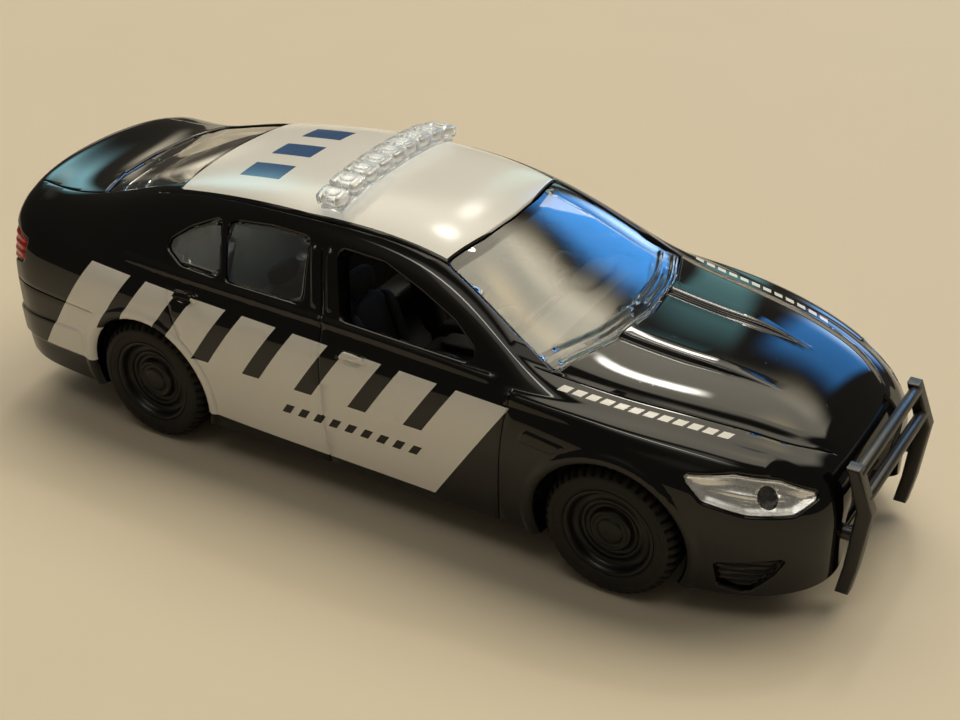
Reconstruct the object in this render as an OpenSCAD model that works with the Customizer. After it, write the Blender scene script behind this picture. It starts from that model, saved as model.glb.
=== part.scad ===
// Toy police car: a cast four-door saloon with a clear window insert, a roof light bar,
// a push bar at the nose and two wheel sets that roll on plain axles.
// X runs forward, Y to the car's left and Z up, from the ground under the middle of the car.

/* [Body] */
// Length of the body from tail to nose, without the push bar
body_length = 78.2; // [75:0.2:81]
// Width of the body across the wheel arches
body_width = 30.4; // [29:0.2:32]
// Height of the roof's crown above the ground
roof_height = 24.2; // [23:0.2:26]
// Thickness of the cast body wall
wall = 1.2; // [1:0.1:1.4]
// Width of a ridge on the hood where it is widest
ridge_width = 2.4; // [2:0.1:2.8]
// Height of a ridge above the hood
ridge_height = 0.6; // [0.4:0.05:0.8]
// Radius of the corners of the window openings
window_corner = 0.6; // [0.4:0.1:0.8]
// Gap left around a piece that is set into the body
fit_gap = 0.12; // [0.08:0.01:0.16]

/* [Wheels] */
// Distance between the front and the rear axle
wheelbase = 44.7; // [43:0.1:46]
// Outer diameter of a tyre
tyre_d = 11.2; // [10.6:0.1:11.6]
// Width of a tyre
tyre_width = 4; // [3.6:0.1:4.2]
// Diameter of the rim that the tyre is stretched over
rim_d = 7.6; // [7.2:0.1:8]
// How far the tyres stand inside the body's widest line
wheel_inset = 0.5; // [0.3:0.1:0.8]
// Gap between a tyre and its wheel arch
arch_gap = 0.7; // [0.5:0.1:0.9]
// Diameter of an axle
axle_d = 1.5; // [1.3:0.1:1.7]
// Gap all round an axle in its bearings
running_gap = 0.05; // [0.03:0.01:0.08]
// Gap between a bearing and the wheel beside it
end_float = 0.3; // [0.2:0.05:0.4]
// Width of a groove across the tread
tread_groove = 0.45; // [0.3:0.05:0.6]
// Depth of a groove across the tread
tread_depth = 0.3; // [0.2:0.05:0.4]

/* [Chassis] */
// Height of the chassis above the ground
ground_gap = 2.6; // [2.4:0.1:2.9]
// Thickness of the chassis plate
chassis_t = 1.2; // [1:0.1:1.4]
// Width of a bearing block along the axle
bearing_width = 3.2; // [2.6:0.1:3.6]
// Thickness of the bearing block around the axle
bearing_wall = 1; // [0.8:0.1:1.2]
// Diameter of a base screw's shank
screw_d = 1.6; // [1.4:0.1:1.8]
// Diameter of a base screw's head
screw_head_d = 2.8; // [2.6:0.1:3]
// Thickness of a base screw's head
screw_head_t = 0.6; // [0.5:0.05:0.8]
// Length of a base screw under its head
screw_length = 4; // [3:0.2:5]
// Diameter of the posts that take the base screws
post_d = 3.4; // [3.2:0.1:3.6]

/* [Glazing and lamps] */
// Thickness of the clear window insert
glass_t = 0.8; // [0.6:0.1:1]
// How far a pane stands back from the body's surface
pane_inset = 0.2; // [0.1:0.05:0.3]
// Depth of a lamp lens in its pocket
lamp_depth = 0.7; // [0.5:0.05:0.8]
// Radius of the corners of a lamp lens
lamp_corner = 0.3; // [0.2:0.05:0.4]

/* [Light bar] */
// Length of the light bar across the roof
light_bar_length = 17.4; // [16:0.2:18]
// Depth of the light bar along the car
light_bar_depth = 2.7; // [2.3:0.1:3]
// Height of the light bar above the roof
light_bar_height = 1.5; // [1.2:0.1:1.8]
// Number of lamp modules in the light bar
light_modules = 9; // [7:2:11]
// Diameter of the pegs that hold the light bar
peg_d = 1.2; // [1:0.1:1.4]

/* [Push bar] */
// How far the push bar stands ahead of the nose
push_reach = 2.1; // [1.8:0.1:2.4]
// Distance between the middles of the two uprights
push_spacing = 13.6; // [12.6:0.2:14.6]
// Thickness of an upright across the car
upright_t = 1.3; // [1.1:0.1:1.5]
// Diameter of the cross bars
cross_bar_d = 1; // [0.8:0.1:1.2]
// Diameter of the pins that hold the push bar in the bumper
push_pin_d = 1.2; // [1:0.1:1.4]

/* [Cabin] */
// Thickness of the floor of the interior tub
tub_floor_t = 0.8; // [0.6:0.1:1]
// Width of a front seat
seat_width = 6.4; // [5.8:0.2:7]
// Thickness of the seat cushions and backs
seat_t = 1.8; // [1.5:0.1:2.1]
// Diameter of the steering wheel
steering_d = 4.6; // [4:0.2:5]
// Thickness of the steering wheel's ring
steering_ring_t = 0.6; // [0.5:0.05:0.7]

/* [Hidden] */

// How far a cut runs past what it cuts
overrun = 1;
half_width = body_width / 2;
half_length = (body_length + push_reach) / 2;
tail_x = -half_length;
nose_x = tail_x + body_length;

// Stations of the body from tail to nose. Each row gives, as shares of the body's length, half
// width and height: x, side y, sill z, then y and z of the shoulder crest, the belt under the
// windows, and the roof rail or hood edge, and last the z of the middle line.
station_shares = [
    [ 0.010, 0.62, 0.200, 0.58, 0.450, 0.53, 0.490, 0.40, 0.520, 0.535],
    [ 0.001, 0.80, 0.182, 0.76, 0.540, 0.71, 0.595, 0.53, 0.635, 0.650],
    [-0.0025, 0.89, 0.168, 0.84, 0.638, 0.79, 0.703, 0.61, 0.758, 0.795],
    [ 0.012, 0.94, 0.160, 0.89, 0.660, 0.83, 0.720, 0.63, 0.780, 0.815],
    [ 0.065, 0.97, 0.148, 0.92, 0.660, 0.86, 0.708, 0.61, 0.778, 0.798],
    [ 0.125, 0.985, 0.142, 0.935, 0.650, 0.875, 0.690, 0.58, 0.805, 0.830],
    [ 0.200, 1.000, 0.138, 0.945, 0.635, 0.885, 0.672, 0.575, 0.878, 0.915],
    [ 0.290, 0.995, 0.136, 0.945, 0.620, 0.890, 0.658, 0.600, 0.922, 0.968],
    [ 0.380, 0.990, 0.136, 0.945, 0.611, 0.890, 0.648, 0.630, 0.942, 0.996],
    [ 0.470, 0.985, 0.136, 0.945, 0.606, 0.890, 0.643, 0.645, 0.943, 1.003],
    [ 0.560, 0.985, 0.136, 0.945, 0.604, 0.890, 0.640, 0.645, 0.912, 0.970],
    [ 0.630, 0.985, 0.136, 0.945, 0.603, 0.890, 0.640, 0.695, 0.815, 0.872],
    [ 0.690, 0.990, 0.136, 0.945, 0.602, 0.893, 0.638, 0.765, 0.695, 0.755],
    [ 0.735, 0.995, 0.135, 0.945, 0.600, 0.882, 0.625, 0.763, 0.650, 0.697],
    [ 0.800, 1.000, 0.128, 0.940, 0.584, 0.855, 0.608, 0.725, 0.628, 0.674],
    [ 0.865, 0.980, 0.112, 0.907, 0.555, 0.803, 0.580, 0.670, 0.608, 0.653],
    [ 0.925, 0.895, 0.100, 0.815, 0.513, 0.710, 0.538, 0.580, 0.575, 0.615],
    [ 0.970, 0.763, 0.108, 0.690, 0.463, 0.600, 0.493, 0.480, 0.525, 0.557],
    [ 0.996, 0.605, 0.125, 0.553, 0.397, 0.487, 0.430, 0.382, 0.455, 0.480],
    [ 1.003, 0.460, 0.157, 0.434, 0.340, 0.382, 0.364, 0.303, 0.380, 0.397],
    [ 0.993, 0.316, 0.190, 0.303, 0.290, 0.276, 0.302, 0.224, 0.314, 0.322]];
station_units = [body_length, half_width, roof_height, half_width, roof_height,
    half_width, roof_height, half_width, roof_height, roof_height];
stations = [for (row = station_shares)
    [for (k = [0 : len(row) - 1]) row[k] * station_units[k] + (k == 0 ? tail_x : 0)]];

// Points of a half section between its lines: up the door side as shares of the side y and of
// the sill-to-crest height, up the window pillar from belt to rail with a bulge, over the roof
side_shares = [[0.945, 0], [0.965, 0.1], [0.99, 0.34], [1.005, 0.6], [1, 0.84]];
pillar_shares = [[0.38, 0.42, 0.016], [0.8, 0.84, 0.023]];
roof_shares = [[1, 0], [0.8, 0.55], [0.45, 0.9], [0, 1]];
// Inward direction of each point of a half section, from sill to middle line
inward_shares = [[-1, 0], [-1, 0], [-1, 0], [-1, 0], [-1, 0], [-0.9, -0.5], [-0.8, -0.6],
    [-0.9, -0.45], [-0.85, -0.5], [-0.65, -0.75], [-0.35, -0.95], [-0.15, -1], [0, -1]];
last_station = len(stations) - 1;
half_spans = len(inward_shares) - 1;

// Rings along the body and points across each ring
shell_rings = 40;
shell_points = 34;
inner_rings = 24;
inner_points = 24;

// Places along the body, counted in stations
hollow_range = [3.6, 16.2];
glazing_range = [4.55, 13.35];
light_bar_station = 8.62;
// Stations over which the tail's bow fades out
bow_range = [2.6, 4.4];
// How far the tail's corners sit ahead of its middle, as a share of the half width
tail_bow_share = 0.173;

// Outlines as shares of length and height: the corner centres of the side windows
front_window_shares = [[0.472, 0.868], [0.487, 0.712], [0.630, 0.696], [0.606, 0.750],
    [0.564, 0.808], [0.517, 0.860]];
rear_window_shares = [[0.420, 0.876], [0.425, 0.723], [0.339, 0.726], [0.328, 0.858],
    [0.376, 0.876]];
quarter_window_shares = [[0.304, 0.848], [0.315, 0.729], [0.274, 0.735], [0.256, 0.764],
    [0.275, 0.806]];
// Outlines in plan as shares of length and half width, one half each
windscreen_shares = [[0.746, 0], [0.738, 0.35], [0.714, 0.69], [0.586, 0.555], [0.595, 0.3],
    [0.598, 0]];
backlight_shares = [[0.214, 0], [0.216, 0.3], [0.222, 0.455], [0.128, 0.52], [0.116, 0.3],
    [0.112, 0]];
// Wide end and tip of a hood ridge as shares of length, half width and height
ridge_shares = [[0.765, 0.3, 0.674], [0.905, 0.24, 0.62]];
// Lamp corners as shares of length, half width and height
headlight_shares = [[0.874, 0.905, 0.512], [0.918, 0.83, 0.515], [0.955, 0.72, 0.492],
    [0.975, 0.585, 0.448], [0.962, 0.70, 0.424], [0.930, 0.86, 0.430], [0.892, 0.92, 0.462]];
tail_light_shares = [[0.004, 0.50, 0.655], [0.004, 0.48, 0.575], [0.018, 0.83, 0.560],
    [0.050, 0.925, 0.585], [0.052, 0.90, 0.645], [0.015, 0.80, 0.675]];
headlight_turn = 48;
tail_light_turn = 135;
// Ranges of stations and of half-section points that hold each lamp
headlight_range = [14.2, 18.8, 3, 7.6];
tail_light_range = [0.7, 4.6, 3.4, 9];
// Turn of the corner circles, which keeps their edges off the body's rings
corner_turn = 11;
lamp_rings = 12;
lamp_points = 9;

// Places on the body as shares of its length, half width or height
cabin_floor_share = 0.612;
front_post_share = 0.894;
rear_post_share = 0.0755;
front_post_x = tail_x + front_post_share * body_length;
rear_post_x = tail_x + rear_post_share * body_length;
glazing_low_z = cabin_floor_share * roof_height;
grille_z_shares = [0.21, 0.425];
grille_depth_share = 0.027;
push_pin_z_share = 0.28;
peg_y_share = 0.3;
roof_edge_share = 0.9;

// Wheels and axles
axle_r = axle_d / 2;
axle_z = tyre_d / 2;
tyre_r = tyre_d / 2;
rim_r = rim_d / 2;
tyre_outer_y = half_width - wheel_inset;
tyre_inner_y = tyre_outer_y - tyre_width;
arch_r = tyre_r + arch_gap;
bearing_outer_y = tyre_inner_y - end_float;
tread_grooves = 24;
// Outline of a tyre's half section: share of tyre height, share of half width
tyre_shares = [[0, 0.8], [0.08, 0.93], [0.4, 1], [0.66, 0.99], [0.84, 0.93], [0.95, 0.8], [1, 0.6]];
// Face of a rim from its lip to its middle: share of rim radius, share of rim width
rim_face_shares = [[1, 0.93], [0.97, 1], [0.9, 1], [0.86, 0.9], [0.74, 0.72], [0.66, 0.72],
    [0.62, 0.8], [0.5, 0.8], [0.46, 0.7], [0.36, 0.7], [0.33, 0.92], [0.16, 0.98], [0, 0.98]];
rim_barrel_share = 0.82;
rim_web_share = 0.5;
hub_share = 0.42;
axle_end_share = 0.62;

// Chassis
chassis_top = ground_gap + chassis_t;
chassis_narrow_y = bearing_outer_y - end_float;
chassis_wide_y = half_width * station_shares[10][1] * side_shares[0][0] - wall - fit_gap;
hollow_back_x = station_at(hollow_range[0])[0];
hollow_front_x = station_at(hollow_range[1])[0];
chassis_back_x = hollow_back_x + fit_gap;
chassis_front_x = hollow_front_x - fit_gap;
wheel_bay = arch_r + fit_gap;

// Cabin places as shares of the wheelbase and of the cabin's height over its floor
tub_z = chassis_top;
seat_floor_z = tub_z + tub_floor_t;
cabin_h = roof_height - seat_floor_z;
tub_x_shares = [-0.315, 0.30];
front_seat_shares = [[0.045, 0.19], [-0.085, 0.14], [-0.130, 0.46], [-0.137, 0.60]];
rear_seat_shares = [[-0.21, 0.18], [-0.275, 0.14], [-0.295, 0.46]];
shelf_back_share = -0.69;
seat_y_share = 0.355;
bench_y_share = 0.66;
dash_shares = [[0.2, 0.36], [0.2, 0.46], [0.225, 0.51], [0.285, 0.5], [0.295, 0.3], [0.26, 0.3]];
dash_y_share = 0.7;
tub_y_share = 0.78;
round_steps = 8;
steering_tilt = 62;
steering_z_share = 0.485;
steering_x_share = 0.17;

// Push bar profile, counted up the front and down the back: x as a share of the reach ahead of
// the nose, z as a share of the roof height
upright_shares = [[0.5, 0.062], [0.72, 0.165], [1, 0.38], [0.36, 0.525], [-0.1, 0.525],
    [0.42, 0.38], [0.2, 0.165], [0, 0.062]];
cross_bar_shares = [[0.25, 0.497], [0.6, 0.415]];

function weights(t) = [(1 - t)^3, 3 * t^3 - 6 * t^2 + 4, -3 * t^3 + 3 * t^2 + 3 * t + 1, t^3] / 6;

// A control point, mirrored past the ends so that the curve meets its end points
function held(list, i) = i < 0 ? 2 * list[0] - list[1]
    : i > len(list) - 1 ? 2 * list[len(list) - 1] - list[len(list) - 2]
    : list[i];

// A point of the smooth curve that a list of control points guides
function on_curve(list, t) =
    let (i = min(floor(t), len(list) - 2), w = weights(t - i))
    w[0] * held(list, i - 1) + w[1] * held(list, i) + w[2] * held(list, i + 1) + w[3] * held(list, i + 2);

function station_at(u) = on_curve(stations, u);

// Control points of the left half section at a station, moved inward by an inset
function half_section(s, inset) =
    let (points = concat(
        [for (p = side_shares) [p[0] * s[1], s[2] + p[1] * (s[4] - s[2])]],
        [[s[3], s[4]], [s[5], s[6]]],
        [for (p = pillar_shares)
            [s[5] + p[0] * (s[7] - s[5]) + p[2] * half_width, s[6] + p[1] * (s[8] - s[6])]],
        [for (p = roof_shares) [p[0] * s[7], s[8] + p[1] * (s[9] - s[8])]]))
    [for (k = [0 : half_spans]) points[k] + inset * inward_shares[k]];

// The whole section from the left sill over the roof to the right sill
function section(s, inset) =
    let (half = half_section(s, inset))
    concat(half, [for (k = [half_spans - 1 : -1 : 0]) [-half[k][0], half[k][1]]]);

// A rise from zero to one with level ends
function eased(t) = let (c = min(max(t, 0), 1)) c * c * (3 - 2 * c);

// A point of the outer skin moved forward towards the tail's corners, which bows the tail in plan
// and leaves the flat end ring as it is
function bowed(u, p) =
    let (fade = eased(u) * eased((bow_range[1] - u) / (bow_range[1] - bow_range[0])))
    [p[0] + fade * tail_bow_share * half_width * (p[1] / half_width)^2, p[1], p[2]];

function body_point(u, v) =
    let (s = station_at(u), p = on_curve(section(s, 0), v))
    bowed(u, [s[0], p[0], p[1]]);

// A point moved square to the body's surface, inward by an inset
function sunk_point(u, v, inset) =
    let (h = 0.05,
        n = cross(body_point(u + h, v) - body_point(u - h, v), body_point(u, v + h) - body_point(u, v - h)))
    body_point(u, v) + inset * n / norm(n);

function ring(u, inset, count) =
    let (s = station_at(u), line = section(s, inset))
    [for (k = [0 : count]) let (p = on_curve(line, 2 * half_spans * k / count)) [s[0], p[0], p[1]]];

// A ring drawn straight down at both ends to a foot, to open the underside
function footed(r, foot_z) = concat([[r[0][0], r[0][1], foot_z]], r,
    [[r[len(r) - 1][0], r[len(r) - 1][1], foot_z]]);

// A closed solid through rings of equal length. An end is one flat face, or for a slab a strip of
// triangles between the two rows of its ring
module through_rings(rings, slab = false) {
    n = len(rings[0]);
    m = len(rings);
    sides = [for (i = [0 : m - 2]) for (j = [0 : n - 1])
        let (a = i * n + j, d = i * n + (j + 1) % n) each [[a, a + n, d + n], [a, d + n, d]]];
    strip = [for (j = [0 : n / 2 - 2]) each [[j, j + 1, n - 2 - j], [j, n - 2 - j, n - 1 - j]]];
    end = slab ? strip : [[for (j = [0 : n - 1]) j]];
    far_end = [for (face = end) [for (j = [len(face) - 1 : -1 : 0]) (m - 1) * n + face[j]]];
    polyhedron([for (r = rings) each r], concat(sides, end, far_end), convexity = 8);
}

// The body's solid moved inward by an inset over a range of stations, open to the ground
module inner_solid(range, inset) {
    through_rings([for (i = [0 : inner_rings])
        footed(ring(range[0] + (range[1] - range[0]) * i / inner_rings, inset, inner_points),
            -overrun)]);
}

// A slab of the body's wall between two insets, over ranges of stations and section points
module wall_slab(range, outer_inset, inner_inset) {
    through_rings([for (i = [0 : lamp_rings])
        let (u = range[0] + (range[1] - range[0]) * i / lamp_rings)
        concat(
            [for (k = [0 : lamp_points])
                sunk_point(u, range[2] + (range[3] - range[2]) * k / lamp_points, outer_inset)],
            [for (k = [lamp_points : -1 : 0])
                sunk_point(u, range[2] + (range[3] - range[2]) * k / lamp_points, inner_inset)])],
        slab = true);
}

// A prism across the car from the middle out through the left side, with rounded corners
module side_prism(shares, grow) {
    rotate([-90, 0, 0]) linear_extrude(half_width + overrun) hull()
        for (p = shares) translate([tail_x + p[0] * body_length, -p[1] * roof_height])
            rotate(corner_turn) circle(window_corner + grow, $fn = 12);
}

// An upright prism over the cabin, mirrored about the middle line
module plan_prism(shares, grow) {
    translate([0, 0, glazing_low_z]) linear_extrude(roof_height) hull()
        for (p = shares, side = [-1, 1])
            translate([tail_x + p[0] * body_length, side * p[1] * half_width])
                rotate(corner_turn) circle(window_corner + grow, $fn = 12);
}

// A level prism through a corner of the body on its left side, turned about the upright axis
module corner_prism(shares, turn, grow) {
    rotate([0, 0, turn]) rotate([90, 0, 90]) linear_extrude(half_length + half_width) hull()
        for (p = shares)
            let (x = tail_x + p[0] * body_length, y = p[1] * half_width)
            translate([y * cos(turn) - x * sin(turn), p[2] * roof_height])
                rotate(corner_turn) circle(lamp_corner + grow, $fn = 12);
}

// A rod along Y, from its middle
module cross_rod(d, length) {
    rotate([90, 0, 0]) cylinder(d = d, h = length, center = true, $fn = 48);
}

module both_sides() {
    for (side = [0, 1]) mirror([0, side, 0]) children();
}

module base_places() {
    for (x = [rear_post_x, front_post_x]) translate([x, 0, 0]) children();
}

// Lens or pocket of a lamp on the left side
module lamp(shares, turn, range, proud, depth, grow) {
    intersection() {
        wall_slab(range, -proud, depth);
        corner_prism(shares, turn, grow);
    }
}

// Places on the roof under the light bar, from right to left, as y and z
roof_line = [for (p = ring(light_bar_station, 0, 8 * half_spans)) if (p[2] > roof_edge_share * roof_height) p];
roof_pairs = [for (k = [len(roof_line) - 1 : -1 : 0]) [roof_line[k][1], roof_line[k][2]]];
light_bar_x = station_at(light_bar_station)[0];
function roof_z(y) = lookup(y, roof_pairs);

module light_bar_pegs(grow, length) {
    for (side = [-1, 1])
        let (y = side * peg_y_share * half_width)
        translate([light_bar_x, y, roof_z(y) - length]) cylinder(d = peg_d + 2 * grow, h = length, $fn = 32);
}

// A hood ridge on the left side: a low blade that tapers forward
module hood_ridge() {
    places = [for (p = ridge_shares)
        [tail_x + p[0] * body_length, p[1] * half_width, p[2] * roof_height]];
    hull() {
        translate(places[0]) scale([ridge_width, ridge_width / 2, ridge_height]) sphere(1, $fn = 20);
        translate(places[1]) scale(ridge_height / 3) sphere(1, $fn = 12);
    }
}

module push_pins(grow, length) {
    for (side = [-1, 1])
        translate([nose_x + upright_shares[1][0] * push_reach - length,
                side * push_spacing / 2, push_pin_z_share * roof_height])
            rotate([0, 90, 0]) cylinder(d = push_pin_d + 2 * grow, h = length, $fn = 32);
}
push_pin_length = 2.5 * push_reach;

grille_y = push_spacing / 2 - upright_t / 2 - fit_gap;
grille_low_z = grille_z_shares[0] * roof_height;
grille_high_z = grille_z_shares[1] * roof_height;
grille_back_x = nose_x - grille_depth_share * body_length;

module body_shell() {
    color([0.04, 0.04, 0.05]) difference() {
        union() {
            through_rings([for (i = [0 : shell_rings]) let (u = last_station * i / shell_rings)
                [for (p = ring(u, 0, shell_points)) bowed(u, p)]]);
            both_sides() hood_ridge();
        }
        difference() {
            inner_solid(hollow_range, wall);
            base_places() translate([0, 0, chassis_top]) cylinder(d = post_d, h = roof_height, $fn = 32);
        }
        base_places() translate([0, 0, chassis_top - overrun])
            cylinder(d = screw_d + 2 * fit_gap, h = screw_length + overrun, $fn = 24);
        both_sides() {
            side_prism(front_window_shares, 0);
            side_prism(rear_window_shares, 0);
            side_prism(quarter_window_shares, 0);
            lamp(headlight_shares, headlight_turn, headlight_range, overrun, lamp_depth + fit_gap, fit_gap);
            lamp(tail_light_shares, tail_light_turn, tail_light_range, overrun, lamp_depth + fit_gap,
                fit_gap);
            for (x = [-wheelbase / 2, wheelbase / 2])
                translate([x, tyre_inner_y - end_float, axle_z]) rotate([-90, 0, 0])
                    cylinder(r = arch_r, h = half_width, $fn = 44);
        }
        plan_prism(windscreen_shares, 0);
        plan_prism(backlight_shares, 0);
        light_bar_pegs(fit_gap, 2 * wall);
        push_pins(fit_gap, push_pin_length + fit_gap);
        translate([grille_back_x, -grille_y, grille_low_z])
            cube([body_length, 2 * grille_y, grille_high_z - grille_low_z]);
    }
}

module window_glazing() {
    liner_inset = wall + fit_gap;
    color([0.8, 0.85, 0.88, 0.45]) difference() {
        intersection() {
            inner_solid(glazing_range, pane_inset);
            union() {
                inner_solid(glazing_range, liner_inset);
                both_sides() {
                    side_prism(rear_window_shares, -fit_gap);
                    side_prism(quarter_window_shares, -fit_gap);
                }
                plan_prism(windscreen_shares, -fit_gap);
                plan_prism(backlight_shares, -fit_gap);
            }
        }
        inner_solid([glazing_range[0] - 1, glazing_range[1] + 1], liner_inset + glass_t);
        both_sides() side_prism(front_window_shares, fit_gap);
        translate([tail_x, -half_width, -overrun])
            cube([body_length, body_width, glazing_low_z + overrun]);
    }
}

module chassis_plate() {
    color([0.07, 0.07, 0.075]) difference() {
        union() {
            translate([chassis_back_x, -chassis_narrow_y, ground_gap])
                cube([chassis_front_x - chassis_back_x, 2 * chassis_narrow_y, chassis_t]);
            translate([wheel_bay - wheelbase / 2, -chassis_wide_y, ground_gap])
                cube([wheelbase - 2 * wheel_bay, 2 * chassis_wide_y, chassis_t]);
            both_sides() for (x = [-wheelbase / 2, wheelbase / 2])
                translate([x - axle_r - bearing_wall, bearing_outer_y - bearing_width, ground_gap])
                    cube([axle_d + 2 * bearing_wall, bearing_width,
                        axle_z + axle_r + bearing_wall - ground_gap]);
        }
        for (x = [-wheelbase / 2, wheelbase / 2])
            translate([x, 0, axle_z]) cross_rod(axle_d + 2 * running_gap, body_width);
        base_places() {
            translate([0, 0, ground_gap - overrun]) cylinder(d = screw_d + 2 * fit_gap,
                h = chassis_t + 2 * overrun, $fn = 32);
            translate([0, 0, ground_gap - overrun]) cylinder(d = screw_head_d + 2 * fit_gap,
                h = screw_head_t + overrun, $fn = 32);
        }
    }
}

module base_screws() {
    color([0.6, 0.6, 0.62]) base_places() difference() {
        union() {
            translate([0, 0, ground_gap]) cylinder(d = screw_head_d, h = screw_head_t, $fn = 32);
            translate([0, 0, ground_gap]) cylinder(d = screw_d, h = screw_head_t + screw_length, $fn = 32);
        }
        for (turn = [0, 90]) rotate([0, 0, turn])
            translate([-screw_d / 2, -screw_head_t / 4, ground_gap - overrun])
                cube([screw_d, screw_head_t / 2, screw_head_t / 2 + overrun]);
    }
}

// A round-ended bar across the car between two points of its side view
module padded_bar(a, b, width) {
    turn = atan2(b[1] - a[1], b[0] - a[0]);
    rotate([90, 0, 0]) linear_extrude(width, center = true) polygon(concat(
        [for (k = [0 : round_steps]) b + seat_t / 2 * [cos(turn - 90 + k * 180 / round_steps),
            sin(turn - 90 + k * 180 / round_steps)]],
        [for (k = [0 : round_steps]) a + seat_t / 2 * [cos(turn + 90 + k * 180 / round_steps),
            sin(turn + 90 + k * 180 / round_steps)]]));
}

function cabin_point(p) = [p[0] * wheelbase, seat_floor_z + p[1] * cabin_h];

module interior_tub() {
    tub_y = tub_y_share * half_width;
    color([0.12, 0.12, 0.13]) {
        translate([tub_x_shares[0] * wheelbase, -tub_y, tub_z])
            cube([(tub_x_shares[1] - tub_x_shares[0]) * wheelbase, 2 * tub_y, tub_floor_t]);
        both_sides() translate([0, seat_y_share * half_width, 0]) {
            for (k = [0 : 2])
                padded_bar(cabin_point(front_seat_shares[k]), cabin_point(front_seat_shares[k + 1]),
                    k < 2 ? seat_width : seat_width / 2);
            translate([cabin_point(front_seat_shares[1])[0], -seat_width / 4, seat_floor_z])
                cube([(front_seat_shares[0][0] - front_seat_shares[1][0]) * wheelbase, seat_width / 2,
                    front_seat_shares[1][1] * cabin_h]);
        }
        for (k = [0 : 1])
            padded_bar(cabin_point(rear_seat_shares[k]), cabin_point(rear_seat_shares[k + 1]),
                2 * bench_y_share * half_width);
        translate([cabin_point(rear_seat_shares[1])[0], -bench_y_share * half_width, seat_floor_z])
            cube([(rear_seat_shares[0][0] - rear_seat_shares[1][0]) * wheelbase,
                2 * bench_y_share * half_width, rear_seat_shares[1][1] * cabin_h]);
        translate([shelf_back_share * wheelbase, -tub_y,
                cabin_point(rear_seat_shares[2])[1] - tub_floor_t / 2])
            cube([(rear_seat_shares[2][0] - shelf_back_share) * wheelbase, 2 * tub_y, tub_floor_t]);
        rotate([90, 0, 0]) linear_extrude(2 * dash_y_share * half_width, center = true)
            polygon([for (p = dash_shares) cabin_point(p)]);
        translate([dash_shares[2][0] * wheelbase, -seat_width / 2, tub_z])
            cube([(dash_shares[3][0] - dash_shares[2][0]) * wheelbase, seat_width,
                cabin_point(dash_shares[0])[1] - tub_z]);
    }
}

module steering_wheel() {
    ring_r = (steering_d - steering_ring_t) / 2;
    column_length = (dash_shares[0][0] - steering_x_share) * wheelbase / sin(steering_tilt);
    color([0.1, 0.1, 0.1]) translate([steering_x_share * wheelbase, seat_y_share * half_width,
            seat_floor_z + steering_z_share * cabin_h])
        rotate([0, steering_tilt, 0]) {
            rotate_extrude($fn = 48) translate([ring_r, 0]) circle(d = steering_ring_t, $fn = 16);
            cylinder(d = 2 * steering_ring_t, h = steering_ring_t, center = true, $fn = 24);
            for (turn = [0, 120, 240]) rotate([0, 0, turn])
                translate([0, -steering_ring_t / 2, -steering_ring_t / 4])
                    cube([ring_r, steering_ring_t, steering_ring_t / 2]);
            cylinder(d = steering_ring_t, h = column_length, $fn = 24);
        }
}

// A strip along the roof under the light bar's lamps, with its top and bottom on the roof's curve
module light_bar_base() {
    half = light_bar_length / 2;
    places = [for (k = [-light_modules : light_modules]) half * k / light_modules];
    rotate([90, 0, 90]) linear_extrude(light_bar_depth, center = true) polygon(concat(
        [for (y = places) [y, roof_z(y) + fit_gap]],
        [for (y = places) [-y, roof_z(-y) + fit_gap + light_bar_height / 2]]));
}

module light_bar() {
    step = light_bar_length / light_modules;
    color([0.85, 0.88, 0.9, 0.6]) {
        translate([light_bar_x, 0, 0]) light_bar_base();
        for (k = [0 : light_modules - 1])
            let (y = (k + 0.5) * step - light_bar_length / 2,
                slope = atan2(roof_z(y + step / 2) - roof_z(y - step / 2), step))
            translate([light_bar_x, y, roof_z(y) + fit_gap]) rotate([slope, 0, 0])
                translate([0, step / 2 - fit_gap, light_bar_height / 4]) rotate([90, 0, 0])
                    linear_extrude(step - 2 * fit_gap) polygon([
                        [-light_bar_depth / 2, 0], [light_bar_depth / 2, 0],
                        [light_bar_depth / 2, light_bar_height / 4],
                        [light_bar_depth / 4, light_bar_height * 3 / 4],
                        [-light_bar_depth / 4, light_bar_height * 3 / 4],
                        [-light_bar_depth / 2, light_bar_height / 4]]);
        translate([0, 0, fit_gap + light_bar_height / 4]) light_bar_pegs(0, wall + light_bar_height / 4);
    }
}

module headlight_lens_left() {
    color([0.85, 0.87, 0.9, 0.6])
        lamp(headlight_shares, headlight_turn, headlight_range, 0, lamp_depth, 0);
}

module headlight_lens_right() {
    mirror([0, 1, 0]) headlight_lens_left();
}

module tail_light_left() {
    color([0.6, 0.03, 0.03])
        lamp(tail_light_shares, tail_light_turn, tail_light_range, 0, lamp_depth, 0);
}

module tail_light_right() {
    mirror([0, 1, 0]) tail_light_left();
}

module grille_insert() {
    height = grille_high_z - grille_low_z - 2 * fit_gap;
    half = grille_y - fit_gap;
    depth = nose_x - grille_back_x;
    bar = height / 11;
    color([0.06, 0.06, 0.065]) translate([grille_back_x, -half, grille_low_z + fit_gap]) {
        cube([depth / 3, 2 * half, height]);
        for (k = [0 : 5]) translate([0, 0, 2 * k * bar]) cube([depth / 2, 2 * half, bar]);
    }
}

module push_bar() {
    profile = [for (p = upright_shares) [nose_x + p[0] * push_reach, p[1] * roof_height]];
    color([0.05, 0.05, 0.055]) {
        for (side = [-1, 1]) translate([0, side * push_spacing / 2, 0]) rotate([90, 0, 0])
            linear_extrude(upright_t, center = true) polygon(profile);
        for (p = cross_bar_shares) translate([nose_x + p[0] * push_reach, 0, p[1] * roof_height])
            cross_rod(cross_bar_d, push_spacing);
        push_pins(0, push_pin_length);
    }
}

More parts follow.
